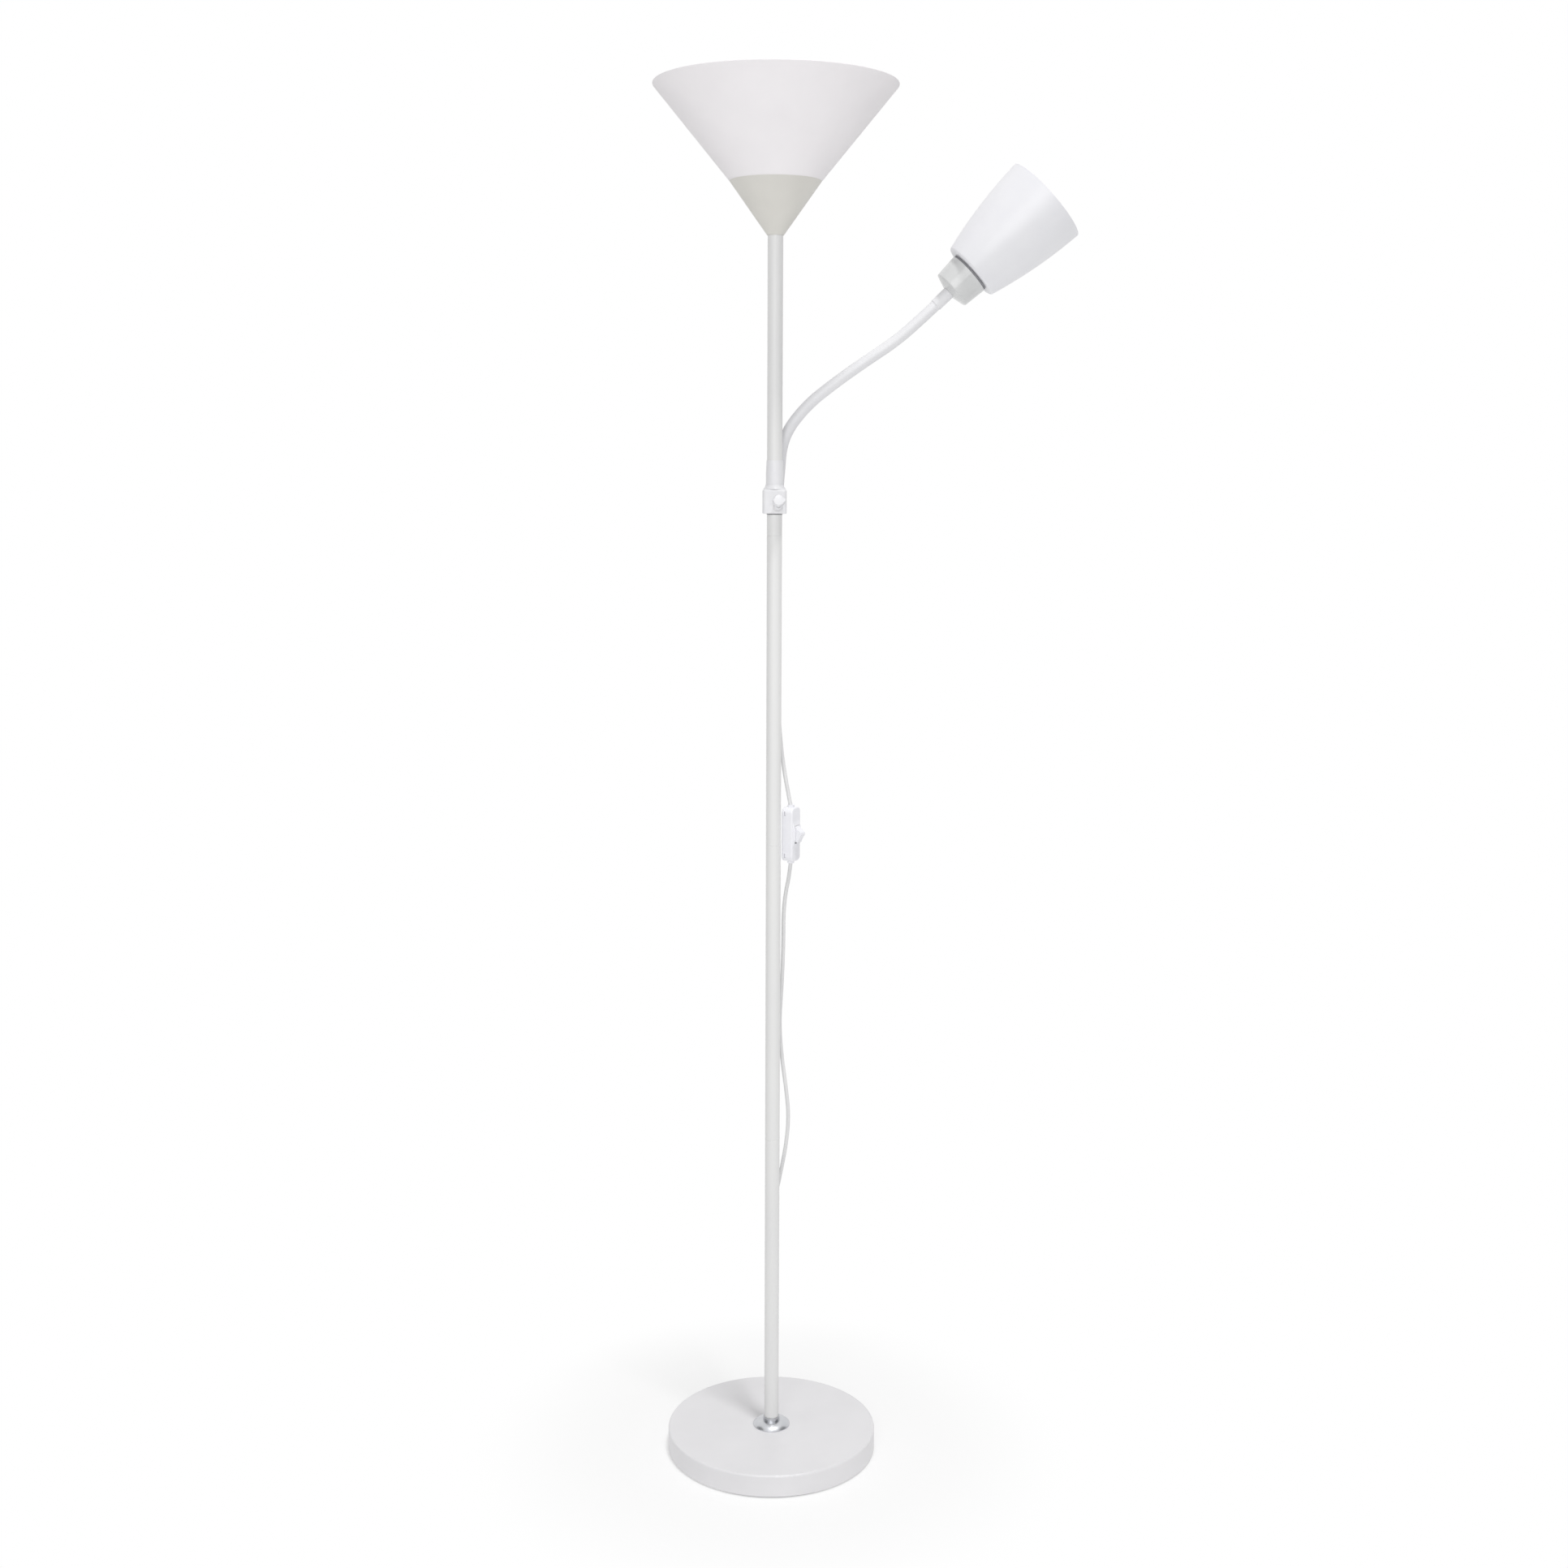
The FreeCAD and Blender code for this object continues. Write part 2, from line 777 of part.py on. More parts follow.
def pole():
    bottoms = [POLE_BOTTOM] + JOINTS
    names = ("pole_lower", "pole_mid_lower", "pole_mid_upper")
    for node, bottom in zip(names, bottoms):
        pole_tube(node, bottom, size("section_length"))
    pole_tube("pole_upper", JOINTS[2], size("top_section_length"))
    couplers = []
    for joint, level in enumerate(JOINTS, start=1):
        low = level - size("coupler_length") / 2
        rod = cylinder(f"coupler_{joint}_rod", PLUG_RADIUS, size("coupler_length"), (0, 0, low))
        bore = cylinder(
            f"coupler_{joint}_bore", size("coupler_bore"), size("coupler_length"), (0, 0, low)
        )
        couplers.append(cut(f"coupler_{joint}", rod, bore))
    group = doc.addObject("Part::Compound", "pole_couplers")
    group.Links = couplers
    keep(group, "pole_couplers")
    top_plug = washer_corners(ROD_THREAD, PLUG_RADIUS, POLE_TOP - size("plug_length"), POLE_TOP)
    turned("pole_top_plug", top_plug)
    rod_low = POLE_TOP - size("plug_length") - size("rod_over_plug")
    rod_high = MAIN_SKIRT_BOTTOM
    turned("main_nipple", washer_corners(size("rod_bore"), size("rod_radius"), rod_low, rod_high))
    lead_low = NUT_BOTTOM + size("rod_end")
    lead_length = MAIN_INSERT_BOTTOM - size("seat_gap") - lead_low
    lead = cylinder("pole_lead", size("pole_lead_radius"), lead_length, (0, 0, lead_low))
    keep(lead, "pole_lead")


# ---------------------------------------------------------------------------
# Cup, large shade and upper lamp holder
# ---------------------------------------------------------------------------


def cup():
    """Spun cone that closes on the pole at its foot and carries the shade on its rim."""
    foot = size("cup_foot_radius")
    rim = size("cup_radius")
    high = size("cup_height")
    wall = size("cup_wall")
    floor = size("cup_floor")
    slope = (rim - foot) / high
    corners = [
        (ROD_HOLE, 0.0),
        (foot, 0.0),
        (rim, high),
        (rim - wall, high),
        (foot + slope * floor - wall, floor),
        (ROD_HOLE, floor),
    ]
    place(turned("cup", corners), z=POLE_TOP)
    hex_nut("cup_nut", POLE_TOP + floor)


def main_shade():
    """Moulded translucent cone, open at the top, with a lip under its floor that centres it in the
    cup."""
    foot = size("cup_radius")
    rim = size("shade_radius")
    high = size("shade_height")
    wall = size("shade_wall")
    floor = size("shade_floor")
    hole = size("main_skirt_radius") + size("seat_gap")
    slope = (rim - foot) / high
    cup_slope = (foot - size("cup_foot_radius")) / size("cup_height")
    lip_out = foot - cup_slope * size("shade_lip") - size("cup_wall") - size("seat_gap")
    lip_in = lip_out - size("shade_lip_width")
    body = new_body("main_shade")
    corners = [
        (hole, 0.0),
        (lip_in, 0.0),
        (lip_in, -size("shade_lip")),
        (lip_out, -size("shade_lip")),
        (lip_out, 0.0),
        (foot, 0.0),
        (rim, high),
        (rim - wall, high),
        (foot + slope * floor - wall, floor),
        (hole, floor),
    ]
    revolve(body, corners)
    for edge_radius in (rim, rim - wall):
        round_edges(body, size("shade_rim_round"), ring_at(edge_radius, high))
    place(keep(body, "main_shade"), z=SHADE_FOOT)


def main_socket():
    """E27 lamp holder: a cap on the hollow rod, a skirt screwed on it, a ceramic insert, the
    threaded shell, the centre contact, and the ring that clamps the shade's floor."""
    skirt = size("main_skirt_radius")
    bore = MAIN_SKIRT_BORE
    thread = bore - size("plug_gap")
    wall = size("main_skirt_wall")
    cap_corners = [
        (ROD_THREAD, MAIN_CAP_BOTTOM),
        (ROD_THREAD + CAP_BOSS, MAIN_CAP_BOTTOM),
        (ROD_THREAD + CAP_BOSS, MAIN_CAP_BOTTOM + CAP_BOSS_HEIGHT),
        (skirt, MAIN_CAP_BOTTOM + CAP_SHOULDER),
        (skirt, MAIN_SKIRT_BOTTOM),
        (thread, MAIN_SKIRT_BOTTOM),
        (thread, MAIN_INSERT_BOTTOM),
        (thread - wall, MAIN_INSERT_BOTTOM),
        (thread - wall, MAIN_CAP_BOTTOM + CAP_SHOULDER + CAP_FLOOR_STEP),
        (ROD_THREAD, MAIN_CAP_BOTTOM + CAP_FLOOR),
    ]
    turned("main_socket_cap", cap_corners)
    top = SHADE_FOOT + size("main_skirt_above")
    lip = size("main_shell_bore") + size("shell_wall") + size("seat_gap")
    flange = size("main_flange_radius")
    skirt_corners = [
        (bore, MAIN_SKIRT_BOTTOM),
        (skirt, MAIN_SKIRT_BOTTOM),
        (skirt, SHADE_FOOT - size("flange_thickness")),
        (flange, SHADE_FOOT - size("flange_thickness")),
        (flange, SHADE_FOOT),
        (skirt, SHADE_FOOT),
        (skirt, top),
        (lip, top),
        (lip, top - SKIRT_LIP),
        (bore, top - SKIRT_LIP),
    ]
    turned("main_socket_skirt", skirt_corners)
    shell_bore = size("main_shell_bore")
    insert_radius = bore - size("plug_gap") * 2
    insert = insert_corners(insert_radius, shell_bore, MAIN_INSERT_BOTTOM, MAIN_SHELL_BOTTOM)
    turned("main_socket_insert", insert)
    shell_and_contact("main_socket", shell_bore, MAIN_SHELL_BOTTOM, size("main_shell_length"))
    ring_low = SHADE_FOOT + size("shade_floor")
    clamp_ring(
        "main_shade_ring", skirt, size("main_ring_radius"), ring_low, size("main_ring_height")
    )


def insert_corners(radius, shell_bore, low, high):
    """Section of the ceramic insert: a disc with a recess in its top for the centre contact."""
    recess = shell_bore * CONTACT_SHARE + size("seat_gap")
    floor = high - size("contact_recess")
    return [(0.0, low), (radius, low), (radius, high), (recess, high), (recess, floor), (0.0, floor)]


def shell_and_contact(prefix, bore, bottom, length, axis_place=None):
    """The threaded metal shell, an open sleeve on the insert's rim, and the stepped centre
    contact on the floor of the insert's recess."""
    shell = turned(
        f"{prefix}_shell", washer_corners(bore, bore + size("shell_wall"), bottom, bottom + length)
    )
    foot = bottom - size("contact_recess")
    contact_corners = [
        (0.0, foot),
        (bore * CONTACT_SHARE, foot),
        (bore * CONTACT_SHARE, foot + size("contact_height") / 2),
        (bore * CONTACT_TIP_SHARE, foot + size("contact_height")),
        (0.0, foot + size("contact_height")),
    ]
    contact = turned(f"{prefix}_contact", contact_corners)
    if axis_place is not None:
        shell.Placement = axis_place
        contact.Placement = axis_place


def clamp_ring(node, skirt, radius, low, height, axis_place=None):
    """Ring screwed on the skirt: a wide flange below and a narrower grip above."""
    bore = skirt + size("thread_gap")
    grip = bore + (radius - bore) * 0.5
    corners = [
        (bore, low),
        (radius, low),
        (radius, low + height * 0.3),
        (grip, low + height * 0.45),
        (grip, low + height),
        (bore, low + height),
    ]
    ring = turned(node, corners)
    if axis_place is not None:
        ring.Placement = axis_place


# ---------------------------------------------------------------------------
# Clamp
# ---------------------------------------------------------------------------


def clamp_bush():
    """Sleeve that slides on the pole. The block turns on it between its hidden flange and the neck,
    which thins towards its top."""
    gap = size("bush_end_gap")
    neck_radius = BUSH_BORE + size("bush_neck_wall")
    neck_low = size("block_height") + gap
    neck_top = neck_low + size("bush_neck")
    top_radius = BUSH_BORE + size("bush_top_wall")
    flange = size("bush_flange_radius")
    corners = [
        (BUSH_BORE, 0.0),
        (flange, 0.0),
        (flange, size("bush_flange_height")),
        (BUSH_RADIUS, size("bush_flange_height")),
        (BUSH_RADIUS, neck_low),
        (neck_radius, neck_low),
        (neck_radius, neck_top - size("bush_neck_taper")),
        (top_radius, neck_top),
        (BUSH_BORE, neck_top),
    ]
    place(turned("clamp_bush", corners), z=size("clamp_height"))


def block_outline(body):
    """Plan of the block: square at the front, round about the arm at the back right, and slanting
    from there to the left side."""
    right = number("block_half_width")
    front = number("block_front")
    corner = number("block_corner")
    centre = Vector(number("arm_x"), number("arm_y"), 0)
    reach = right - centre.x
    shoulder = number("block_shoulder_round")
    left_end = Vector(-right, number("block_left_depth"), 0)
    # The slanting side touches both the shoulder's circle and the circle about the arm.
    shoulder_centre = left_end + Vector(shoulder, 0, 0)
    between = centre - shoulder_centre
    lean = math.atan2(between.y, between.x) + math.asin((reach - shoulder) / between.Length)
    out = Vector(-math.sin(lean), math.cos(lean), 0)
    arm_touch = centre + out * reach
    shoulder_touch = shoulder_centre + out * shoulder
    sketch = new_sketch(body, "XY_Plane")

    def arc(middle, radius, start, end):
        circle = Part.Circle(middle, Vector(0, 0, 1), radius)
        return Part.ArcOfCircle(circle, math.radians(start), math.radians(end))

    out_angle = math.degrees(math.atan2(out.y, out.x))
    edges = [
        Part.LineSegment(Vector(corner - right, -front, 0), Vector(right - corner, -front, 0)),
        arc(Vector(right - corner, corner - front, 0), corner, -90, 0),
        Part.LineSegment(Vector(right, corner - front, 0), Vector(right, centre.y, 0)),
        arc(centre, reach, 0, out_angle),
        Part.LineSegment(arm_touch, shoulder_touch),
        arc(shoulder_centre, shoulder, out_angle, 180),
        Part.LineSegment(left_end, Vector(-right, corner - front, 0)),
        arc(Vector(corner - right, corner - front, 0), corner, 180, 270),
    ]
    for edge in edges:
        sketch.addGeometry(edge, False)
    for index in range(8):
        items = (index, 2, (index + 1) % 8, 1)
        sketch.addConstraint(Sketcher.Constraint("Tangent", *items))
    sketch.addConstraint(Sketcher.Constraint("Horizontal", 0))
    sketch.addConstraint(Sketcher.Constraint("Vertical", 2))
    sketch.addConstraint(Sketcher.Constraint("Vertical", 6))
    fix(sketch, "DistanceY", (-1, 1, 0, 1), -size("block_front"))
    fix(sketch, "DistanceX", (-1, 1, 2, 1), size("block_half_width"))
    fix(sketch, "DistanceX", (-1, 1, 6, 2), -size("block_half_width"))
    fix(sketch, "DistanceX", (-1, 1, 3, 3), size("arm_x"))
    fix(sketch, "DistanceY", (-1, 1, 3, 3), size("arm_y"))
    fix(sketch, "DistanceY", (-1, 1, 6, 1), size("block_left_depth"))
    fix(sketch, "Radius", (1,), size("block_corner"))
    fix(sketch, "Radius", (7,), size("block_corner"))
    fix(sketch, "Radius", (5,), size("block_shoulder_round"))
    return sketch


def flat_loop(height):
    """Picks the edges that lie all at one height."""

    def wanted(edge):
        return all(abs(v.Point.z - float(height)) < 1e-4 for v in edge.Vertexes)

    return wanted


def clamp_block():
    """Moulded block that turns on the bush and holds the arm and the clamp screw."""
    high = size("block_height")
    body = new_body("clamp_moulding")
    pad(body, block_outline(body), high)
    round_edges(body, size("block_top_round"), flat_loop(high))
    round_edges(body, size("block_bottom_round"), flat_loop(0.0))
    gap = size("bush_end_gap")
    ream = revolve_cut(
        body,
        [
            (0.0, -1.0),
            (size("bush_flange_radius") + gap, -1.0),
            (size("bush_flange_radius") + gap, size("bush_flange_height") + gap),
            (BLOCK_BORE, size("bush_flange_height") + gap),
            (BLOCK_BORE, high + 1.0),
            (0.0, high + 1.0),
        ],
    )
    body.Tip = ream
    place(body, z=size("clamp_height"))
    arm = cylinder("arm_hole", size("neck_radius") + size("arm_hole_gap"), size("arm_hole_depth") * 2)
    arm.Placement = FreeCAD.Placement(neck_point(-number("arm_hole_depth")), LEAN)
    lead = cylinder("lead_hole", size("lead_hole_radius"), high)
    lead.Placement = FreeCAD.Placement(LEAD_TOP - Vector(0, 0, number("block_height")), FreeCAD.Rotation())
    screw = cylinder("screw_hole", size("screw_radius") + size("screw_play"), size("block_front") * 3)
    screw.Placement = FreeCAD.Placement(SCREW_ORIGIN, SCREW_TURN)
    keep(cut("clamp_block", body, fuse("block_holes", [arm, lead, screw])), "clamp_block")


def revolve_cut(body, corners):
    """Turns a half section about the body's upright axis and takes it away."""
    sketch = outline(body, "XZ_Plane", corners)
    feature = body.newObject("PartDesign::Groove", f"{body.Name}_groove")
    feature.Profile = sketch
    feature.ReferenceAxis = (sketch, ["V_Axis"])
    feature.Angle = 360.0
    before = body.Shape.Volume
    doc.recompute()
    if feature.Shape.Volume > before - 1e-6:
        raise ValueError(f"a groove in {body.Name} cuts nothing")
    return feature


def lead_bush():
    """Tapered bush under the block, where the arm's lead comes out."""
    bore = LEAD_BUSH_BORE
    stem = size("lead_hole_radius") - size("plug_gap")
    flange = size("lead_bush_flange")
    drop = size("lead_bush_drop")
    corners = [
        (bore, -drop),
        (stem - LEAD_BUSH_TAPER, -drop),
        (stem + LEAD_BUSH_SHOULDER, -LEAD_BUSH_FLANGE),
        (flange, -LEAD_BUSH_FLANGE),
        (flange, 0.0),
        (stem, 0.0),
        (stem, LEAD_BUSH_PLUG),
        (bore, LEAD_BUSH_PLUG),
    ]
    bush = place(turned("lead_bush", corners), z=size("clamp_height"))
    bush.setExpression("Placement.Base.x", "sizes.arm_x")
    bush.setExpression("Placement.Base.y", "sizes.arm_y")


def clamp_screw():
    """Threaded brass stud with a moulded butterfly head."""
    end = size("screw_start") + size("screw_length")
    stud_corners = [
        (0.0, size("screw_start")),
        (size("screw_radius") - 0.4, size("screw_start")),
        (size("screw_radius"), size("screw_start") + 0.4),
        (size("screw_radius"), end),
        (0.0, end),
    ]
    stud = turned("clamp_stud", stud_corners)
    stud.Placement = FreeCAD.Placement(SCREW_ORIGIN, SCREW_TURN)
    low = size("wing_start")
    hub = size("wing_hub_radius")
    tip = size("wing_span")
    high = size("wing_height")
    body = new_body("clamp_wing")
    hub_corners = [
        (size("screw_radius") + size("thread_gap"), low),
        (hub, low),
        (hub - WING_HUB_TAPER, low + high * WING_HUB_SHARE),
        (0.0, low + high * WING_HUB_SHARE),
        (0.0, end + size("seat_gap")),
        (size("screw_radius") + size("thread_gap"), end + size("seat_gap")),
    ]
    revolve(body, hub_corners)
    for side in (1, -1):
        lobe = [
            (hub * side * LOBE_ROOT_SHARE, low + LOBE_LIFT),
            (hub * side * LOBE_FOOT_SHARE, low + LOBE_LIFT),
            (tip * side * LOBE_TIP_SHARE, low + high * LOBE_TIP_LEVEL),
            (tip * side * LOBE_TOP_SHARE, low + high, high * LOBE_ROUND_SHARE * side),
            (hub * side * LOBE_ROOT_SHARE, low + high * LOBE_ROOT_LEVEL),
        ]
        pad(body, outline(body, "XZ_Plane", lobe), size("wing_thickness"), both=True)
    wing = keep(body, "clamp_wing")
    roll = FreeCAD.Rotation(Vector(0, 0, 1), number("wing_roll"))
    wing.Placement = FreeCAD.Placement(SCREW_ORIGIN, SCREW_TURN.multiply(roll))


# ---------------------------------------------------------------------------
# Flexible arm: a stub in the block, then ball-ended links along a chain of arcs
# ---------------------------------------------------------------------------

BLOCK_TOP = number("clamp_height") + number("block_height")
LEAN = FreeCAD.Rotation(Vector(0, 1, 0), number("neck_lean"))
NECK_FOOT = Vector(number("arm_x"), number("arm_y"), BLOCK_TOP)
LEAD_TOP = Vector(number("arm_x"), number("arm_y"), BLOCK_TOP - number("arm_hole_depth") + 2)
SCREW_ORIGIN = Vector(0, 0, number("clamp_height") + number("screw_level"))
SCREW_TURN = FreeCAD.Rotation(Vector(0, 0, 1), number("screw_azimuth")).multiply(
    FreeCAD.Rotation(Vector(1, 0, 0), 90 - number("screw_rise"))
)


def neck_point(distance):
    """A point on the arm's straight foot, that far above the block's top."""
    return NECK_FOOT + LEAN.multVec(Vector(0, 0, distance))


def heading(angle):
    """The direction that leans to +X by that angle from upright."""
    return Vector(math.sin(math.radians(angle)), 0, math.cos(math.radians(angle)))


def neck_stations():
    """Where each link starts, with its heading there, and the end of the last one."""
    point = neck_point(number("neck_stub"))
    angle = number("neck_lean")
    stations = [(point, angle)]
    for index in range(1, 7):
        bend = number(f"neck_bend_{index}")
        chord = number("neck_link") * math.sin(math.radians(bend / 2)) / math.radians(bend / 2)
        point = point + heading(angle + bend / 2) * chord
        angle = angle + bend
        stations.append((point, angle))
    return stations


STATIONS = neck_stations()


def half_ball(centre, direction, radius):
    return Part.makeSphere(radius, centre, direction, 0, 90, 360)


def arc_tube(station, bend, radius):
    """A round bar along one link's arc."""
    point, angle = station
    bow = number("neck_link") / math.radians(abs(bend))
    side = 1 if bend > 0 else -1
    inward = heading(angle + 90 * side)
    disc = Part.Face(Part.Wire(Part.makeCircle(radius, point, heading(angle))))
    return disc.revolve(point + inward * bow, Vector(0, side, 0), abs(bend))


def add_feature(node, shape):
    piece = doc.addObject("Part::Feature", node)
    piece.Shape = shape
    piece.Placement = FreeCAD.Placement()
    return keep(piece, node)


def gooseneck():
    """The arm. Each link ends in a ball, and the next one's end is hollowed to turn over it."""
    radius = number("neck_radius")
    bore = number("neck_bore")
    hollow = radius + number("neck_joint_gap")
    start, lean = STATIONS[0]
    foot = neck_point(number("plug_gap") - number("arm_hole_depth"))
    length = (start - foot).Length
    solid = Part.makeCylinder(radius, length, foot, heading(lean))
    solid = solid.fuse(half_ball(start, heading(lean), radius)).removeSplitter()
    solid = solid.cut(Part.makeCylinder(bore, length + 2 * radius, foot, heading(lean)))
    add_feature("gooseneck_stub", solid)
    for index in range(1, 7):
        bend = number(f"neck_bend_{index}")
        start, angle = STATIONS[index - 1]
        end, end_angle = STATIONS[index]
        solid = arc_tube((start, angle), bend, radius)
        hole = arc_tube((start, angle), bend, bore)
        if index < 6:
            solid = solid.fuse(half_ball(end, heading(end_angle), radius))
            hole = hole.fuse(Part.makeCylinder(bore, 2 * radius, end, heading(end_angle)))
        solid = solid.cut(hole).cut(Part.makeSphere(hollow, start))
        add_feature(f"gooseneck_link_{index}", solid)


# ---------------------------------------------------------------------------
# Reading light, along the axis on which the arm ends
# ---------------------------------------------------------------------------

HEAD_PLACE = FreeCAD.Placement(STATIONS[6][0], FreeCAD.Rotation(Vector(0, 1, 0), STATIONS[6][1]))
HOLDER_REAR = size("ferrule_length")
HOLDER_EDGE = HOLDER_REAR + size("holder_dome")
HOLDER_MOUTH = HOLDER_EDGE + size("holder_length")
READING_FOOT = HOLDER_MOUTH + size("holder_gap")


def on_head(piece):
    piece.Placement = HEAD_PLACE
    return piece


def reading_holder():
    """Ferrule, cover with a low cone for its back, hollow rod and nut that carry the reading light's
    lamp holder."""
    rod_low = HOLDER_REAR - size("reading_rod_in")
    ferrule = size("ferrule_radius")
    ferrule_corners = [
        (size("neck_bore"), 0.0),
        (ferrule, 0.0),
        (ferrule, HOLDER_REAR),
        (ROD_THREAD, HOLDER_REAR),
        (ROD_THREAD, rod_low),
        (size("neck_bore"), rod_low),
    ]
    on_head(turned("neck_ferrule", ferrule_corners))
    rear = size("holder_rear_radius")
    front = size("holder_front_radius")
    boss = size("holder_boss_radius")
    wall = size("holder_wall")
    body = new_body("holder_cover")
    cover_corners = [
        (ROD_HOLE, HOLDER_REAR),
        (boss, HOLDER_REAR),
        (rear, HOLDER_EDGE),
        (front, HOLDER_MOUTH),
        (front - wall, HOLDER_MOUTH),
        (rear - wall, HOLDER_EDGE + wall),
        (boss, HOLDER_REAR + wall),
        (ROD_HOLE, HOLDER_REAR + wall),
    ]
    revolve(body, cover_corners)
    round_edges(body, size("holder_round"), ring_at(rear, HOLDER_EDGE))
    round_edges(body, size("holder_round") - wall, ring_at(rear - wall, HOLDER_EDGE + wall))
    on_head(keep(body, "holder_cover"))
    rod_high = HOLDER_REAR + size("reading_rod_out")
    rod = washer_corners(size("rod_bore"), size("rod_radius"), rod_low, rod_high)
    on_head(turned("reading_nipple", rod))
    nut = hex_nut("holder_nut", HOLDER_REAR + wall)
    nut.Placement = HEAD_PLACE


def reading_socket():
    """E14 lamp holder of the reading light and the ring that clamps its shade."""
    skirt = size("reading_skirt_radius")
    bore = skirt - size("reading_skirt_wall")
    low = READING_FOOT - size("reading_skirt_below")
    base_low = low - size("reading_base_length")
    floor = base_low + size("reading_base_floor")
    base_corners = [
        (ROD_THREAD, base_low),
        (skirt, base_low),
        (skirt, low),
        (bore - READING_BASE_WALL, low),
        (bore - READING_BASE_WALL, floor),
        (ROD_THREAD, floor),
    ]
    on_head(turned("reading_socket_base", base_corners))
    top = READING_FOOT + size("reading_skirt_above")
    lip = size("reading_shell_bore") + size("shell_wall") + size("seat_gap")
    flange = size("reading_flange_radius")
    flange_low = READING_FOOT - size("reading_flange_height")
    skirt_corners = [
        (bore, low),
        (skirt, low),
        (skirt, flange_low),
        (flange, flange_low),
        (flange, READING_FOOT),
        (skirt, READING_FOOT),
        (skirt, top),
        (lip, top),
        (lip, top - SKIRT_LIP),
        (bore, top - SKIRT_LIP),
    ]
    on_head(turned("reading_socket_skirt", skirt_corners))
    shell_low = low + size("reading_insert_height")
    shell_bore = size("reading_shell_bore")
    insert = insert_corners(bore - size("plug_gap") * 2, shell_bore, low, shell_low)
    on_head(turned("reading_socket_insert", insert))
    length = size("reading_shell_length")
    shell_and_contact("reading_socket", shell_bore, shell_low, length, HEAD_PLACE)
    ring_low = READING_FOOT + size("reading_shade_wall")
    clamp_ring(
        "reading_shade_ring",
        skirt,
        size("reading_ring_radius"),
        ring_low,
        size("reading_ring_height"),
        HEAD_PLACE,
    )


def reading_shade():
    """Small flared shade with a slightly bulging side and a rounded back corner."""
    hole = size("reading_skirt_radius") + size("seat_gap")
    rear = size("reading_shade_rear")
    rim = size("reading_shade_rim")
    wall = size("reading_shade_wall")
    bulge = size("reading_shade_bulge")
    length = size("reading_shade_length")
    body = new_body("reading_shade")
    corners = [
        (hole, 0.0),
        (rear, 0.0),
        (rim, length, bulge),
        (rim - wall, length),
        (rear - wall, wall, -(bulge - wall)),
        (hole, wall),
    ]
    revolve(body, corners)
    round_edges(body, size("reading_shade_round"), ring_at(rear, 0.0))
    inner_round = size("reading_shade_round") - wall
    round_edges(body, inner_round, ring_at(rear - wall, wall))
    shade = keep(body, "reading_shade")
    shade.Placement = HEAD_PLACE.multiply(
        FreeCAD.Placement(Vector(0, 0, float(READING_FOOT)), FreeCAD.Rotation())
    )


# ---------------------------------------------------------------------------
# In-line switch, built about its own centre with its rocker to +X, then turned
# ---------------------------------------------------------------------------

SWITCH_PLACE = FreeCAD.Placement(
    Vector(number("switch_x"), number("switch_y"), number("switch_z")),
    FreeCAD.Rotation(Vector(0, 0, 1), number("switch_turn")),
)


def round_box(wide, long, corner):
    """A box outline with four round corners, centred, from the lower left corner's end."""
    return [
        (-wide + corner, -long),
        (wide - corner, -long),
        (wide, -long + corner, corner),
        (wide, long - corner),
        (wide - corner, long, corner),
        (-wide + corner, long),
        (-wide, long - corner, corner),
        (-wide, -long + corner),
    ]


def arc_last(corners, corner):
    """Closes a round box with its last corner's arc."""
    first = corners[0]
    return [(first[0], first[1], corner)] + corners[1:]


def switch_outline(inset):
    wide = size("switch_half_width") - inset
    long = size("switch_half_length") - inset
    corner = size("switch_corner") - inset
    return arc_last(round_box(wide, long, corner), corner)


def switch_base():
    """Back half of the switch: a shell with a cord nub at each end and slots for the snap hooks."""
    depth = size("switch_depth")
    wall = size("switch_wall")
    body = new_body("switch_back")
    pad(body, outline(body, "YZ_Plane", switch_outline(0.0)), depth, reverse=True)
    round_edges(body, size("switch_edge_round"), flat_side(-depth))
    pocket(body, outline(body, "YZ_Plane", switch_outline(wall)), depth - wall)
    nubs = []
    for name, sign in (("upper", 1), ("lower", -1)):
        level = size("switch_half_length") if sign > 0 else -size("switch_half_length") - size("nub_length")
        nubs.append(cylinder(f"{name}_nub", size("nub_radius"), size("nub_length"), (0, 0, level)))
    slots = []
    for name, sign in (("upper", 1), ("lower", -1)):
        level = size("snap_station") * sign - SLOT_WIDTH / 2
        slot = block(
            f"{name}_slot", SLOT_DEPTH, size("switch_half_width") * 2 + 2, SLOT_WIDTH,
            (SNAP_BACK, -size("switch_half_width") - 1, level),
        )
        slots.append(slot)
    back = cut("switch_back_slotted", body, fuse("snap_slots", slots))
    switch = fuse("switch_base", [back] + nubs)
    switch.Placement = SWITCH_PLACE
    keep(switch, "switch_base")


def flat_side(level):
    """Picks the edges that lie all at one depth."""

    def wanted(edge):
        return all(abs(v.Point.x - float(level)) < 1e-4 for v in edge.Vertexes)

    return wanted


def hump_side(depth):
    """Picks the long edges of the hump, which stand out from the switch's face."""

    def wanted(edge):
        beside = all(abs(abs(v.Point.y) - number("switch_hump_half_width")) < 1e-4 for v in edge.Vertexes)
        out = edge.valueAt((edge.FirstParameter + edge.LastParameter) / 2).x
        along = abs(edge.Vertexes[0].Point.z - edge.Vertexes[-1].Point.z)
        return beside and out > float(depth) + 0.2 and along > 1.0

    return wanted


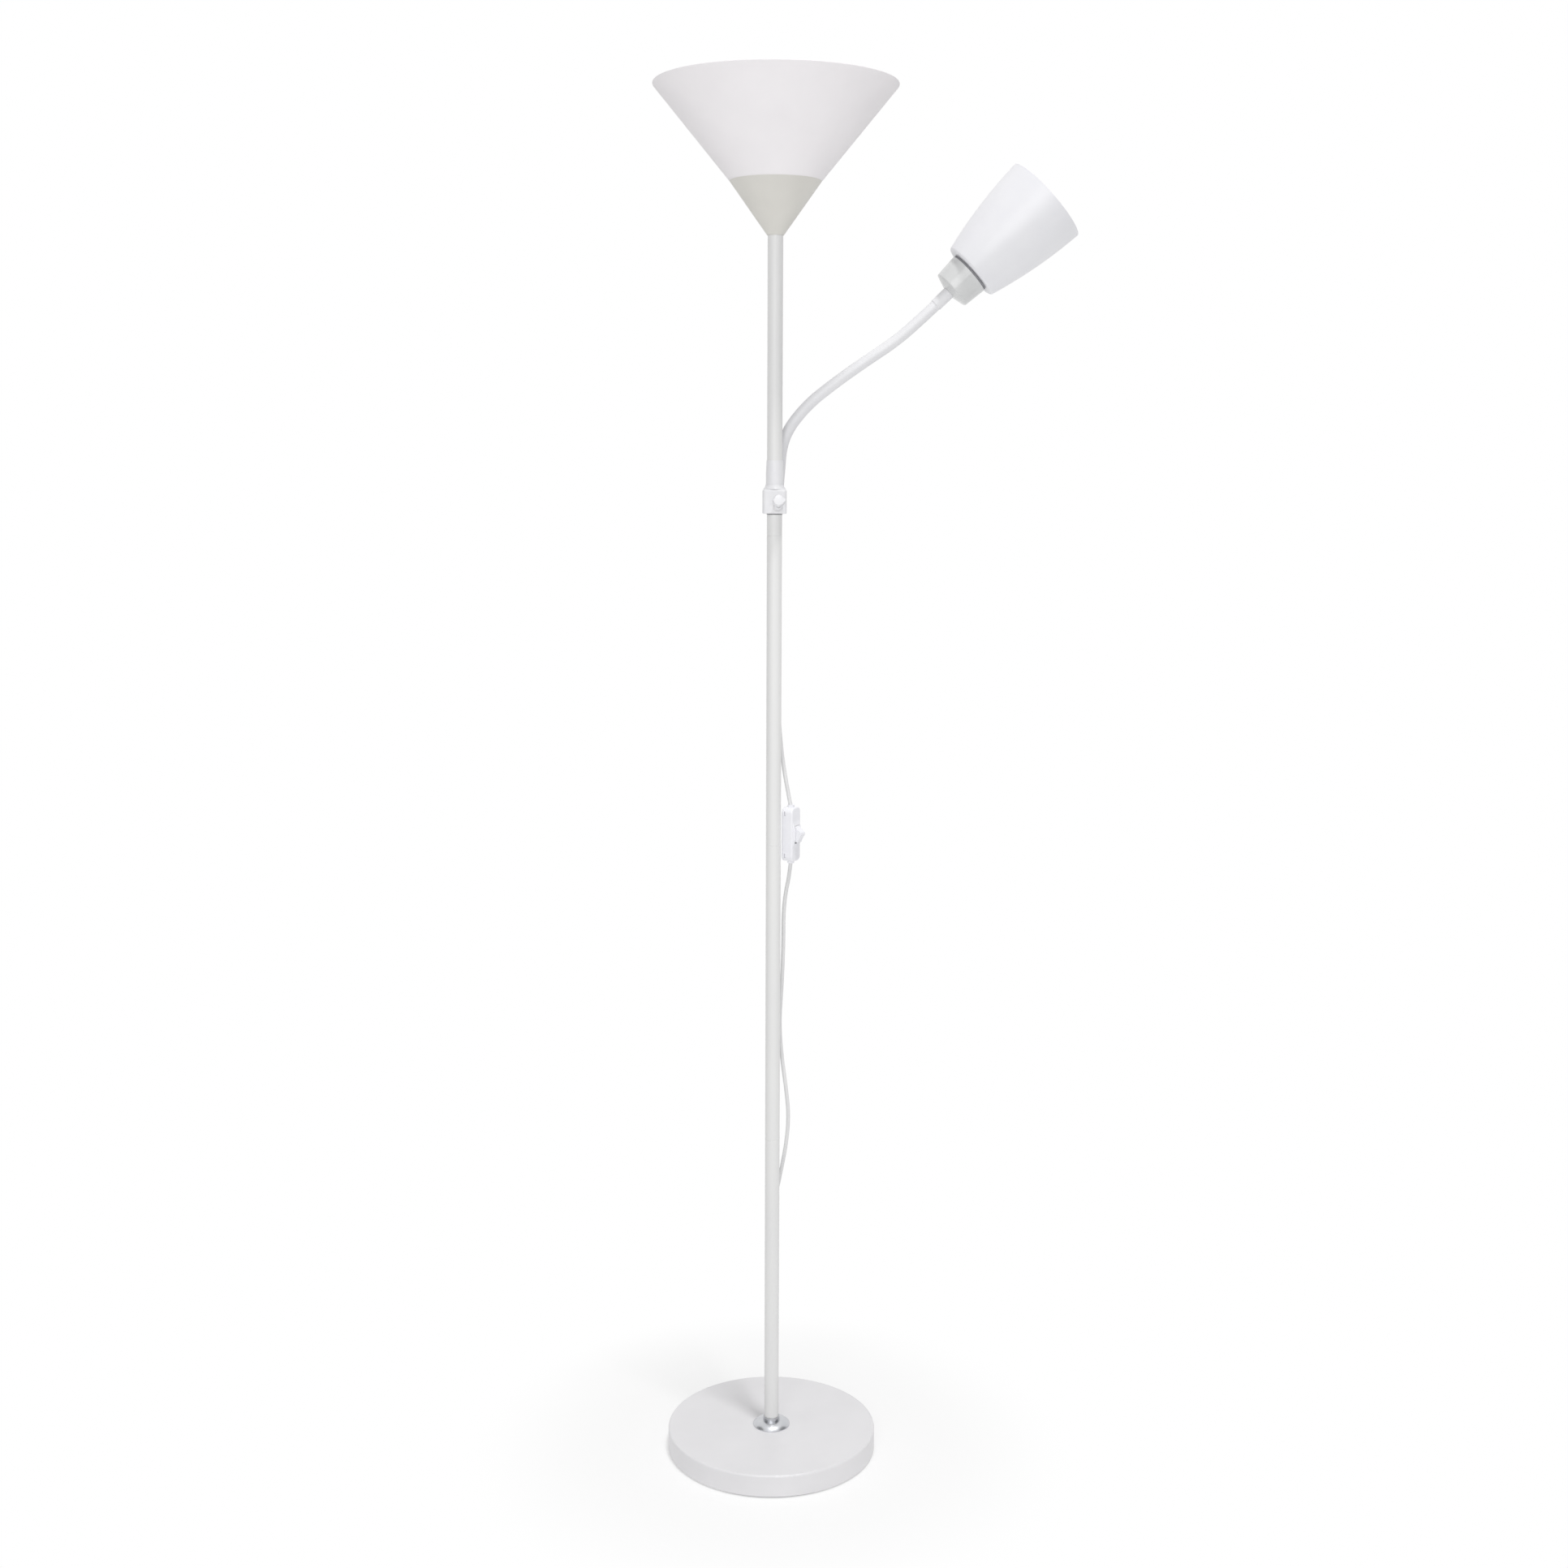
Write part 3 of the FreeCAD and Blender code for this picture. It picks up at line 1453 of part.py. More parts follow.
def switch_cover():
    """Front half: a shell with a hump over its middle, a slot for the rocker, bearings for its pin
    and four snap hooks."""
    depth = size("switch_depth")
    wall = size("switch_wall")
    hump_top = depth + size("switch_hump_height")
    body = new_body("switch_front")
    pad(body, outline(body, "YZ_Plane", switch_outline(0.0)), depth)
    round_edges(body, size("switch_edge_round"), flat_side(depth))
    hump_foot = size("switch_hump_half_length")
    hump = [
        (depth - 1.0, -hump_foot),
        (hump_top, -size("switch_hump_top"), -size("switch_hump_bow")),
        (hump_top, size("switch_hump_top")),
        (depth - 1.0, hump_foot, -size("switch_hump_bow")),
    ]
    pad(body, outline(body, "XZ_Plane", hump), size("switch_hump_half_width") * 2, both=True)
    round_edges(body, size("switch_hump_round"), hump_side(depth))
    pocket(body, outline(body, "YZ_Plane", switch_outline(wall)), depth - wall, reverse=True)
    slot_wide = size("rocker_half_width") + size("rocker_gap")
    slot_long = size("rocker_half_length") + size("rocker_gap") * 2
    slot = box_corners(-slot_wide, -slot_long, slot_wide, slot_long)
    pocket(body, outline(body, "YZ_Plane", slot), hump_top + 1.0, reverse=True)
    pin_hole = cylinder(
        "pivot_hole", size("pivot_radius") + size("pivot_play"), (slot_wide + size("pivot_in")) * 2
    )
    pin_hole.Placement = FreeCAD.Placement(
        Vector(number("pivot_level"), -float(slot_wide + size("pivot_in")), 0),
        FreeCAD.Rotation(Vector(1, 0, 0), -90),
    )
    pieces = [cut("switch_front_bored", body, pin_hole)]
    inner = size("switch_half_width") - wall
    for name, up in (("upper", 1), ("lower", -1)):
        for side in (1, -1):
            level = size("snap_station") * up - SNAP_WIDTH / 2
            near = inner - NOSE_SIDE if side > 0 else -inner + TONGUE_GAP
            tongue = block(
                f"{name}_tongue_{2 + side}", TONGUE_REACH, TONGUE_THICK, SNAP_WIDTH, (SNAP_BACK, near, level)
            )
            start = inner - TONGUE_GAP if side > 0 else -inner - TONGUE_THICK
            nose = block(
                f"{name}_nose_{2 + side}", NOSE_SIDE, NOSE_SIDE, SNAP_WIDTH, (NOSE_BACK, start, level)
            )
            pieces += [tongue, nose]
    switch = fuse("switch_cover", pieces)
    switch.Placement = SWITCH_PLACE
    keep(switch, "switch_cover")


def switch_rocker():
    """Peaked rocker on a moulded pin, resting on its upper end's side."""
    half = size("rocker_half_length")
    peak = size("rocker_peak")
    shoulder = size("rocker_shoulder")
    root = size("rocker_root")
    body = new_body("rocker_body")
    corners = [
        (-root, -half * 0.6),
        (shoulder, -half),
        (peak - 0.6, -2.0, -(half * 3)),
        (peak - 0.6, 2.0, size("rocker_half_width")),
        (shoulder, half, -(half * 3)),
        (-root, half * 0.6),
    ]
    pad(body, outline(body, "XZ_Plane", corners), size("rocker_half_width") * 2, both=True)
    pin_half = size("rocker_half_width") + size("rocker_gap") + size("pivot_in") - 0.2
    pin = cylinder("rocker_pin", size("pivot_radius"), pin_half * 2)
    pin.Placement = FreeCAD.Placement(Vector(0, -float(pin_half), 0), FreeCAD.Rotation(Vector(1, 0, 0), -90))
    rocker = fuse("switch_rocker", [body, pin])
    tip = FreeCAD.Placement(
        Vector(number("pivot_level"), 0, 0), FreeCAD.Rotation(Vector(0, 1, 0), -number("rocker_tip"))
    )
    rocker.Placement = SWITCH_PLACE.multiply(tip)
    keep(rocker, "switch_rocker")


def switch_contacts():
    """Two fixed brass strips on the floor of the switch, under the rocker's ends."""
    floor = -(size("switch_depth") - size("switch_wall"))
    strips = []
    for name, sign in (("upper", 1), ("lower", -1)):
        level = STRIP_START if sign > 0 else -STRIP_START - STRIP_LENGTH
        foot = block(
            f"{name}_foot", STRIP_THICK, STRIP_WIDTH, STRIP_LENGTH, (floor, -STRIP_WIDTH / 2, level)
        )
        post_level = STRIP_START if sign > 0 else -STRIP_START - POST_THICK
        height = size("pivot_level") - size("rocker_root") - size("contact_gap") - floor - POST_SHORT
        post = block(
            f"{name}_post", height, STRIP_WIDTH, POST_THICK, (floor, -STRIP_WIDTH / 2, post_level)
        )
        strips.append(fuse(f"{name}_strip", [foot, post]))
    group = doc.addObject("Part::Compound", "switch_contacts")
    group.Links = strips
    group.Placement = SWITCH_PLACE
    keep(group, "switch_contacts")


# ---------------------------------------------------------------------------
# Leads
# ---------------------------------------------------------------------------


def cord(node, route):
    """A round lead: straight runs joined by tangent arcs, each as large as its two runs allow."""
    radius = number("cord_radius")
    points = [Vector(*p) for p in route]
    edges = []
    bends = []
    start = points[0]
    for before, corner, after in zip(points, points[1:], points[2:]):
        back = before - corner
        ahead = after - corner
        turn = math.pi - back.getAngle(ahead)
        reach = 0.45 * min(back.Length, ahead.Length)
        bends.append(reach / math.tan(turn / 2))
        arc_start = corner + back.normalize() * reach
        arc_end = corner + ahead.normalize() * reach
        middle_way = (back + ahead).normalize()
        centre_gap = bends[-1] / math.cos(turn / 2)
        middle = corner + middle_way * (centre_gap - bends[-1])
        edges.append(Part.LineSegment(start, arc_start).toShape())
        edges.append(Part.Arc(arc_start, middle, arc_end).toShape())
        start = arc_end
    edges.append(Part.LineSegment(start, points[-1]).toShape())
    path = Part.Wire(edges)
    section = Part.Wire(Part.makeCircle(radius, points[0], points[1] - points[0]))
    tube = path.makePipeShell([section], True, False)
    expected = math.pi * radius * radius * path.Length
    if abs(tube.Volume / expected - 1) > 0.01:
        raise ValueError(f"{node} has the volume {tube.Volume:.0f}, not {expected:.0f}")
    print(f"{node}: length {path.Length:.1f}, radii {[round(bend) for bend in bends]}")
    add_feature(node, tube)


def cord_inlet():
    """Hooded inlet on the back of the pole, shaped to it, sloping away at its foot."""
    radius = size("inlet_radius")
    reach = size("inlet_y")
    low = size("inlet_height")
    length = size("inlet_length")
    post = cylinder("inlet_post", radius, length, (0, reach, low))
    web = block("inlet_web", radius * 2, reach, length, (-radius, 0.0, low))
    side = new_body("inlet_side")
    corners = [
        (0.0, low),
        (size("pole_radius") + 1.0, low),
        (reach + radius + 1.0, low + length * 0.6),
        (reach + radius + 1.0, low + length),
        (0.0, low + length),
    ]
    pad(side, outline(side, "YZ_Plane", corners), radius * 2 + 2.0, both=True)
    hood = doc.addObject("Part::MultiCommon", "inlet_hood")
    hood.Shapes = [fuse("inlet_plan", [post, web]), side]
    pole_space = cylinder("inlet_pole", size("pole_radius") + size("thread_gap"), length, (0, 0, low))
    keep(cut("cord_inlet", hood, pole_space), "cord_inlet")


def build():
    base_cover()
    base_weight()
    base_fixings()
    base_collar()
    mains_gland()
    pole()
    cup()
    main_shade()
    main_socket()
    clamp_bush()
    clamp_block()
    lead_bush()
    clamp_screw()
    gooseneck()
    reading_holder()
    reading_socket()
    reading_shade()
    switch_base()
    switch_cover()
    switch_rocker()
    switch_contacts()
    cord("cord_upper", UPPER_ROUTE)
    cord("cord_lower", LOWER_ROUTE)
    cord_inlet()
    doc.recompute()


def check_and_write():
    """Stops if anything failed, and otherwise writes one file for each sub-part."""
    for thing in doc.Objects:
        if "Invalid" in thing.State or "Error" in thing.State:
            raise ValueError(f"{thing.Name} is {thing.State}")
    for piece in PARTS:
        if piece.Shape.isNull() or not piece.Shape.isValid():
            raise ValueError(f"{piece.Label} has no valid shape")
    os.makedirs("parts", exist_ok=True)
    for piece in PARTS:
        piece.Shape.exportStep(f"parts/{piece.Label}.step")
    print(f"{len(PARTS)} sub-parts")


build()
check_and_write()
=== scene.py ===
# %% [markdown]
# # A torchiere with a reading light
#
# This is a tall floor lamp: a heavy round base, a thin white pole, a wide plastic cone that
# throws light on the ceiling, and a small reading light on a flexible arm. A lead runs beside
# the pole, through a rocker switch, and back into the pole near the floor. The solids come
# ready made and joined. Here they get their finishes, and the soft and finely shaped pieces
# are modelled over them.

# %% Load the frame
import json
import math

import bpy
from mathutils import Matrix, Vector


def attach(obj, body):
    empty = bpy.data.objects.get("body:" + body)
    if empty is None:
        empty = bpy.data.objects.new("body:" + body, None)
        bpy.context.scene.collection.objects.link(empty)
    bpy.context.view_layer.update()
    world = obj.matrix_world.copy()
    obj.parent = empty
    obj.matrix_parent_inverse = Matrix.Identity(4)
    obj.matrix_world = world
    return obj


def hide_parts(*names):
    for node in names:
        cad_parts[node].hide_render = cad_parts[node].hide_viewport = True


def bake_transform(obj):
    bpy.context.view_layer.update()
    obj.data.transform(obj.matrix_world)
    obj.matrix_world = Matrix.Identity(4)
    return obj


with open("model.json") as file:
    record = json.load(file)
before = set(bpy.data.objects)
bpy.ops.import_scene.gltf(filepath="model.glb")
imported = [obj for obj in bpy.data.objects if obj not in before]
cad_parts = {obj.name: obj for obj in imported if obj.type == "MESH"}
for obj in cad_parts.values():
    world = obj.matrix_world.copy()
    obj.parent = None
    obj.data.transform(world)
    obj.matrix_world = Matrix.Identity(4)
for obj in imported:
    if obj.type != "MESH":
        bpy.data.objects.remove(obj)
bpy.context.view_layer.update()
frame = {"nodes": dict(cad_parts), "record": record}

# %% [markdown]
# Sizes on a lamp are easier to read in millimetres, and Blender works in metres, so one value
# turns one into the other. Every operator acts on all that is selected, so one helper lets go of
# everything and the next takes a single piece. The last prints what was made.

# %% Helpers for sizes and selection
MM = 0.001


def let_go():
    """Nothing is selected, and no piece is being edited."""
    if bpy.context.object and bpy.context.object.mode != "OBJECT":
        bpy.ops.object.mode_set(mode="OBJECT")
    bpy.ops.object.select_all(action="DESELECT")


def take(piece):
    """Only this piece is selected, and the operators work on it."""
    let_go()
    piece.hide_set(False)
    piece.select_set(True)
    bpy.context.view_layer.objects.active = piece
    return piece


def tell(piece):
    """Prints what a finished piece measures."""
    size = [round(side / MM, 1) for side in piece.dimensions]
    print(piece.name, "mm:", size, "faces:", len(piece.data.polygons))


let_go()

# %% [markdown]
# ## The camera
#
# The picture was taken from a little below the large shade, looking slightly down, so the base
# shows its top and the shade hides its inside. The lens is of about normal length. The three
# turns are the tilt down, the small swing to the right, and the roll that lets the pole lean by
# a hair.

# %% Camera
FRAME_PIXELS = 1932
FOCAL_PIXELS = 2388.1
TILT_DOWN = math.radians(9.295)
SWING_RIGHT = math.radians(0.312)
ROLL = math.radians(0.25)
CAMERA_PLACE = (0.0, -2.4419, 1.3049)
SENSOR_WIDTH = 36.0

bpy.ops.object.camera_add(location=CAMERA_PLACE)
camera = bpy.context.object
camera.name = "photo_camera"
camera.data.sensor_width = SENSOR_WIDTH
camera.data.lens = FOCAL_PIXELS / FRAME_PIXELS * SENSOR_WIDTH
swing = Matrix.Rotation(-SWING_RIGHT, 4, "Z")
tilt = Matrix.Rotation(math.radians(90) - TILT_DOWN, 4, "X")
roll = Matrix.Rotation(ROLL, 4, "Z")
camera.rotation_euler = (swing @ tilt @ roll).to_euler()
bpy.context.scene.camera = camera
print("lens:", round(camera.data.lens, 2), "mm")

# %% [markdown]
# ## The lead
#
# The lead is a soft round vinyl flex, 5 mm thick. A curve with few control points hangs more
# naturally than a line through many, so each stretch is a NURBS spline of order 3 that runs
# near its control points and touches the middle of each straight between them. The spline's
# order is set after its points, because before that it has too few points to take it.

# %% A spline through a route
LEAD_THICK = 5.0
LEAD_ROUNDNESS = 6
CURVE_STEPS = 24
WELD = 0.00001
CREASE = math.radians(40)


def spline_of(name, route, thick=0.0):
    """A curve object that follows a route in millimetres, as thick as a lead or bare."""
    curve = bpy.data.curves.new(name, "CURVE")
    curve.dimensions = "3D"
    curve.resolution_u = CURVE_STEPS
    spline = curve.splines.new("NURBS")
    spline.points.add(len(route) - 1)
    for point, (x, y, z) in zip(spline.points, route):
        point.co = (x * MM, y * MM, z * MM, 1.0)
    spline.order_u = 3
    spline.use_endpoint_u = True
    curve.bevel_depth = thick / 2 * MM
    curve.bevel_resolution = LEAD_ROUNDNESS
    curve.use_fill_caps = thick > 0
    piece = bpy.data.objects.new(name, curve)
    bpy.context.scene.collection.objects.link(piece)
    return piece


def points_of(route):
    """The points that the route's own bare spline passes through."""
    bare = spline_of("bare_line", route)
    line = bpy.data.meshes.new_from_object(bare)
    points = [vertex.co.copy() for vertex in line.vertices]
    bpy.data.objects.remove(bare)
    bpy.data.meshes.remove(line)
    return points


def length_of(points):
    """The length of the line through these points, in metres."""
    return sum((b - a).length for a, b in zip(points, points[1:]))


def as_mesh(piece):
    """The curve becomes a mesh with smooth sides and flat ends."""
    take(piece)
    bpy.ops.object.convert(target="MESH")
    bpy.ops.object.mode_set(mode="EDIT")
    bpy.ops.mesh.select_all(action="SELECT")
    bpy.ops.mesh.remove_doubles(threshold=WELD)
    bpy.ops.mesh.normals_make_consistent(inside=False)
    bpy.ops.object.mode_set(mode="OBJECT")
    bpy.ops.object.shade_smooth_by_angle(angle=CREASE)
    return piece


# %% [markdown]
# The clamp slides on the pole and swivels round it, so the upper half of the lead has to give
# way twice: its top twists with the clamp, and its lower part stretches as the clamp slides.
# One piece can bend across one joint only. So the lead is made in two stretches that meet in
# the middle of a straight run, where a spline of this kind passes exactly, and no seam shows.

# %% The two upper stretches
LEAD_TOP_ROUTE = [
    (4.3, 19.5, 1235.0),
    (4.3, 19.5, 1190.0),
    (4.9, 18.8, 1132.0),
    (4.55, 18.4, 1102.0),
]
LEAD_MIDDLE_ROUTE = [
    (4.55, 18.4, 1102.0),
    (4.2, 18.0, 1072.0),
    (5.0, 17.2, 1014.0),
    (7.8, 15.6, 968.0),
    (11.8, 13.8, 932.0),
    (16.4, 11.7, 904.0),
    (22.0, 9.2, 875.5),
]


def lead_stretch(name, route, bodies, node):
    """A mesh tube along a route. It rides on one body, or stays where it is made between two."""
    tube = as_mesh(spline_of(name, route, LEAD_THICK))
    points = points_of(route)
    if len(bodies) == 2:
        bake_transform(tube)
    else:
        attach(tube, *bodies)
    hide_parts(node)
    print(name, "is", round(length_of(points) / MM, 1), "mm long")
    return tube


lead_top = lead_stretch("lead_top", LEAD_TOP_ROUTE, ["clamp", "clamp_slider"], "cord_upper")
lead_middle = lead_stretch("lead_middle", LEAD_MIDDLE_ROUTE, ["clamp_slider", "root"], "cord_upper")

# %% [markdown]
# Below the switch nothing moves, so one stretch does. The photograph shows it leave the switch,
# swing behind the pole's right edge, wave out once more and slip behind the pole to the inlet.

# %% The lower stretch
LEAD_LOWER_ROUTE = [
    (22.5, 9.0, 802.5),
    (20.6, 9.8, 783.0),
    (16.0, 11.6, 761.0),
    (13.4, 13.2, 733.0),
    (13.5, 14.0, 688.0),
    (11.8, 14.6, 640.0),
    (8.4, 15.2, 586.0),
    (11.8, 14.8, 540.0),
    (17.6, 13.6, 499.0),
    (21.6, 12.8, 460.0),
    (18.6, 13.6, 422.0),
    (12.0, 15.4, 384.0),
    (5.4, 15.6, 352.0),
    (1.4, 14.6, 324.0),
    (0.0, 13.8, 299.0),
]
lead_lower = lead_stretch("lead_lower", LEAD_LOWER_ROUTE, ["root"], "cord_lower")

# %% [markdown]
# ## The floor and the light
#
# A pale studio floor catches the shadow of the base and fades to plain white further out, so no
# horizon shows behind the pole. Even beside the base it is half plain white, which keeps the
# shadow light. The world is white where the camera sees it, directly or in a glossy or clear
# surface, and a softer grey where it only lights the lamp.

# %% Node helpers
def connect(tree, pairs):
    """Links each output to the input beside it."""
    for output, wanted in pairs:
        tree.links.new(output, wanted)


def light_path_white(tree):
    """1 where a ray comes from the camera, a reflection or a clear surface, and 0 elsewhere."""
    path = tree.nodes.new("ShaderNodeLightPath")
    total = path.outputs["Is Camera Ray"]
    for ray in ("Is Glossy Ray", "Is Transmission Ray"):
        largest = tree.nodes.new("ShaderNodeMath")
        largest.operation = "MAXIMUM"
        connect(tree, [(total, largest.inputs[0]), (path.outputs[ray], largest.inputs[1])])
        total = largest.outputs[0]
    return total


# %% World
AMBIENT = 0.51

world = bpy.data.worlds.new("studio")
bpy.context.scene.world = world
world.use_nodes = True
tree = world.node_tree
tree.nodes.clear()
soft = tree.nodes.new("ShaderNodeBackground")
soft.inputs["Color"].default_value = (AMBIENT, AMBIENT, AMBIENT, 1.0)
seen = tree.nodes.new("ShaderNodeBackground")
seen.inputs["Color"].default_value = (1.0, 1.0, 1.0, 1.0)
grey_or_white = tree.nodes.new("ShaderNodeMixShader")
result = tree.nodes.new("ShaderNodeOutputWorld")
connect(tree, [
    (light_path_white(tree), grey_or_white.inputs[0]),
    (soft.outputs[0], grey_or_white.inputs[1]),
    (seen.outputs[0], grey_or_white.inputs[2]),
    (grey_or_white.outputs[0], result.inputs["Surface"]),
])
bpy.context.scene.view_settings.view_transform = "Standard"

# %% Floor
FLOOR_HALF = 6.0
SHADOW_REACH = 0.20
FADE_OUT = 0.42
FLOOR_PAINT = 0.97
WHITE_AT_LEAST = 0.5

bpy.ops.mesh.primitive_plane_add(size=FLOOR_HALF * 2, location=(0, 0, 0))
floor = bpy.context.object
floor.name = "studio_floor"
floor_paint = bpy.data.materials.new("pale_floor")
floor_paint.use_nodes = True
tree = floor_paint.node_tree
tree.nodes.clear()
matt = tree.nodes.new("ShaderNodeBsdfDiffuse")
matt.inputs["Color"].default_value = (FLOOR_PAINT, FLOOR_PAINT, FLOOR_PAINT, 1.0)
white = tree.nodes.new("ShaderNodeEmission")
white.inputs["Strength"].default_value = 1.0
where = tree.nodes.new("ShaderNodeTexCoord")
far = tree.nodes.new("ShaderNodeVectorMath")
far.operation = "LENGTH"
fade = tree.nodes.new("ShaderNodeMapRange")
fade.interpolation_type = "SMOOTHSTEP"
fade.inputs["From Min"].default_value = SHADOW_REACH
fade.inputs["From Max"].default_value = FADE_OUT
fade.inputs["To Min"].default_value = WHITE_AT_LEAST
both = tree.nodes.new("ShaderNodeMath")
both.operation = "MULTIPLY"
blend_floor = tree.nodes.new("ShaderNodeMixShader")
result = tree.nodes.new("ShaderNodeOutputMaterial")
connect(tree, [
    (where.outputs["Object"], far.inputs[0]),
    (far.outputs["Value"], fade.inputs["Value"]),
    (light_path_white(tree), both.inputs[0]),
    (fade.outputs["Result"], both.inputs[1]),
    (both.outputs[0], blend_floor.inputs[0]),
    (matt.outputs[0], blend_floor.inputs[1]),
    (white.outputs[0], blend_floor.inputs[2]),
    (blend_floor.outputs[0], result.inputs["Surface"]),
])
floor.data.materials.append(floor_paint)

# %% [markdown]
# The photograph's light is even and comes mostly from the front: the pole is brightest down its
# middle and darker along both edges. One wide lamp behind and above the camera does that, and a
# small one high above lights the base and the shade's rim.

# %% Lamps
def softbox(name, place, towards, width, power):
    """A square lamp, as many metres wide, that points at a place and isn't seen itself."""
    bpy.ops.object.light_add(type="AREA", location=place)
    lamp = bpy.context.object
    lamp.name = name
    lamp.data.shape = "SQUARE"
    lamp.data.size = width
    lamp.data.energy = power
    lamp.rotation_euler = (Vector(towards) - Vector(place)).to_track_quat("-Z", "Y").to_euler()
    lamp.visible_camera = False
    return lamp


softbox("front_light", (-0.35, -3.2, 2.0), (0.0, 0.0, 1.0), 1.9, 28.0)
softbox("top_light", (1.0, -1.6, 7.5), (0.0, 0.0, 0.0), 0.9, 205.0)

# %% [markdown]
# In a studio, dark cards at both sides and on the floor keep a white object from melting into
# its white background. They show only in reflections: as the darker edges of the pole and the
# reading light, and in whatever faces down, such as the side of the base.

# %% Cards
CARD_GREY = 0.22
CARD_ROUGHNESS = 0.9


def dark_card(name, place, turn, long, wide):
    """A dark sheet that only reflections show, turned about Y by that many degrees."""
    slope = (0.0, math.radians(turn), 0.0)
    bpy.ops.mesh.primitive_plane_add(size=1.0, location=place, rotation=slope)
    card = bpy.context.object
    card.name = name
    card.scale = (long, wide, 1.0)
    for kind in ("camera", "diffuse", "shadow", "transmission", "volume_scatter"):
        setattr(card, f"visible_{kind}", False)
    cloth = bpy.data.materials.new(name)
    cloth.use_nodes = True
    shader = cloth.node_tree.nodes["Principled BSDF"]
    shader.inputs["Base Color"].default_value = (CARD_GREY, CARD_GREY, CARD_GREY, 1.0)
    shader.inputs["Roughness"].default_value = CARD_ROUGHNESS
    card.data.materials.append(cloth)


dark_card("card_left", (-1.7, -0.3, 1.0), 90, 2.6, 1.6)
dark_card("card_right", (1.7, -0.3, 1.0), 90, 2.6, 1.6)
dark_card("card_below", (0.0, -0.95, 0.01), 0, 3.0, 1.4)

# %% [markdown]
# ## Finishes
#
# Paint and moulded plastic look flat when they have one colour. On the real lamp the tone drifts
# a little over a hand's width, the gloss changes where it was rubbed, and the surface has a fine
# grain. So each finish mixes two near tones by a soft noise, drives its roughness by a finer one
# and raises a small bump from a third. All three read Object coordinates, so they stay on the
# piece from every side. Tones are given as they look on a screen, from 0 to 255.

# %% A mottled finish
FINISHES = {}
NOISE_LOW = 0.3
NOISE_HIGH = 0.7
DRIFT_DETAIL = 3.0
GRAIN_DETAIL = 2.0
RUB_SHARE = 0.4


def tone(red, green, blue):
    """A screen tone as the linear colour that a shader takes."""
    def linear(value):
        share = value / 255
        return share / 12.92 if share <= 0.04045 else ((share + 0.055) / 1.055) ** 2.4
    return (linear(red), linear(green), linear(blue), 1.0)


def noise(tree, size, detail, stretch):
    """Noise whose blotches are about that many millimetres across."""
    where = tree.nodes.new("ShaderNodeTexCoord")
    scale = tree.nodes.new("ShaderNodeMapping")
    scale.inputs["Scale"].default_value = stretch
    field = tree.nodes.new("ShaderNodeTexNoise")
    field.inputs["Scale"].default_value = 1.0 / (size * MM)
    field.inputs["Detail"].default_value = detail
    connect(tree, [
        (where.outputs["Object"], scale.inputs["Vector"]),
        (scale.outputs["Vector"], field.inputs["Vector"]),
    ])
    return field.outputs["Fac"]


def span(tree, value, low, high):
    """Takes the range that noise mostly covers to the range from low to high."""
    step = tree.nodes.new("ShaderNodeMapRange")
    step.inputs["From Min"].default_value = NOISE_LOW
    step.inputs["From Max"].default_value = NOISE_HIGH
    step.inputs["To Min"].default_value = low
    step.inputs["To Max"].default_value = high
    tree.links.new(value, step.inputs["Value"])
    return step.outputs["Result"]


def two_tones(tree, factor, light, dark):
    """Mixes two colours, light where the factor is 1."""
    mix = tree.nodes.new("ShaderNodeMix")
    mix.data_type = "RGBA"
    mix.inputs["A"].default_value = dark
    mix.inputs["B"].default_value = light
    tree.links.new(factor, mix.inputs["Factor"])
    return mix.outputs["Result"]


def new_finish(name):
    """A new material, its node tree and its shader."""
    finish = bpy.data.materials.new(name)
    finish.use_nodes = True
    tree = finish.node_tree
    return finish, tree, tree.nodes["Principled BSDF"]


def mottled(name, light, dark, drift, gloss, grain, relief, stretch=(1.0, 1.0, 1.0), metal=0.0):
    """Makes a finish and lists it. drift and grain are sizes in millimetres, gloss the roughness's
    two ends, relief the bump in millimetres."""
    finish, tree, shader = new_finish(name)
    shader.inputs["Metallic"].default_value = metal
    colour = two_tones(tree, span(tree, noise(tree, drift, DRIFT_DETAIL, stretch), 0.0, 1.0), light, dark)
    rough = span(tree, noise(tree, drift * RUB_SHARE, DRIFT_DETAIL, stretch), *gloss)
    bump = tree.nodes.new("ShaderNodeBump")
    bump.inputs["Strength"].default_value = 1.0
    bump.inputs["Distance"].default_value = relief * MM
    connect(tree, [
        (colour, shader.inputs["Base Color"]),
        (rough, shader.inputs["Roughness"]),
        (noise(tree, grain, GRAIN_DETAIL, stretch), bump.inputs["Height"]),
        (bump.outputs["Normal"], shader.inputs["Normal"]),
    ])
    FINISHES[name] = finish


# %% [markdown]
# The base and the pole are stoved white paint, satin and nearly smooth. The base is laid flat
# when it is sprayed and gathers a slight orange peel; the tubes are sprayed upright, so their
# grain is drawn out along the pole.

# %% Painted metal
mottled(
    "white_base_paint", tone(231, 230, 232), tone(227, 226, 228), 70, (0.32, 0.40), 1.4, 0.006)
mottled(
    "white_pole_paint", tone(234, 234, 233), tone(229, 229, 229), 55, (0.34, 0.42), 1.2, 0.004,
    stretch=(1.0, 1.0, 0.25))
mottled(
    "cup_paint", tone(220, 218, 212), tone(215, 213, 207), 40, (0.42, 0.52), 1.2, 0.006)
mottled(
    "cast_iron", tone(116, 116, 119), tone(96, 96, 100), 18, (0.6, 0.8), 1.6, 0.25)

# %% [markdown]
# Zinc plate is a dull bluish metal with a fine crystal grain, chrome is almost a mirror with
# faint haze, and drawn brass keeps fine lines.

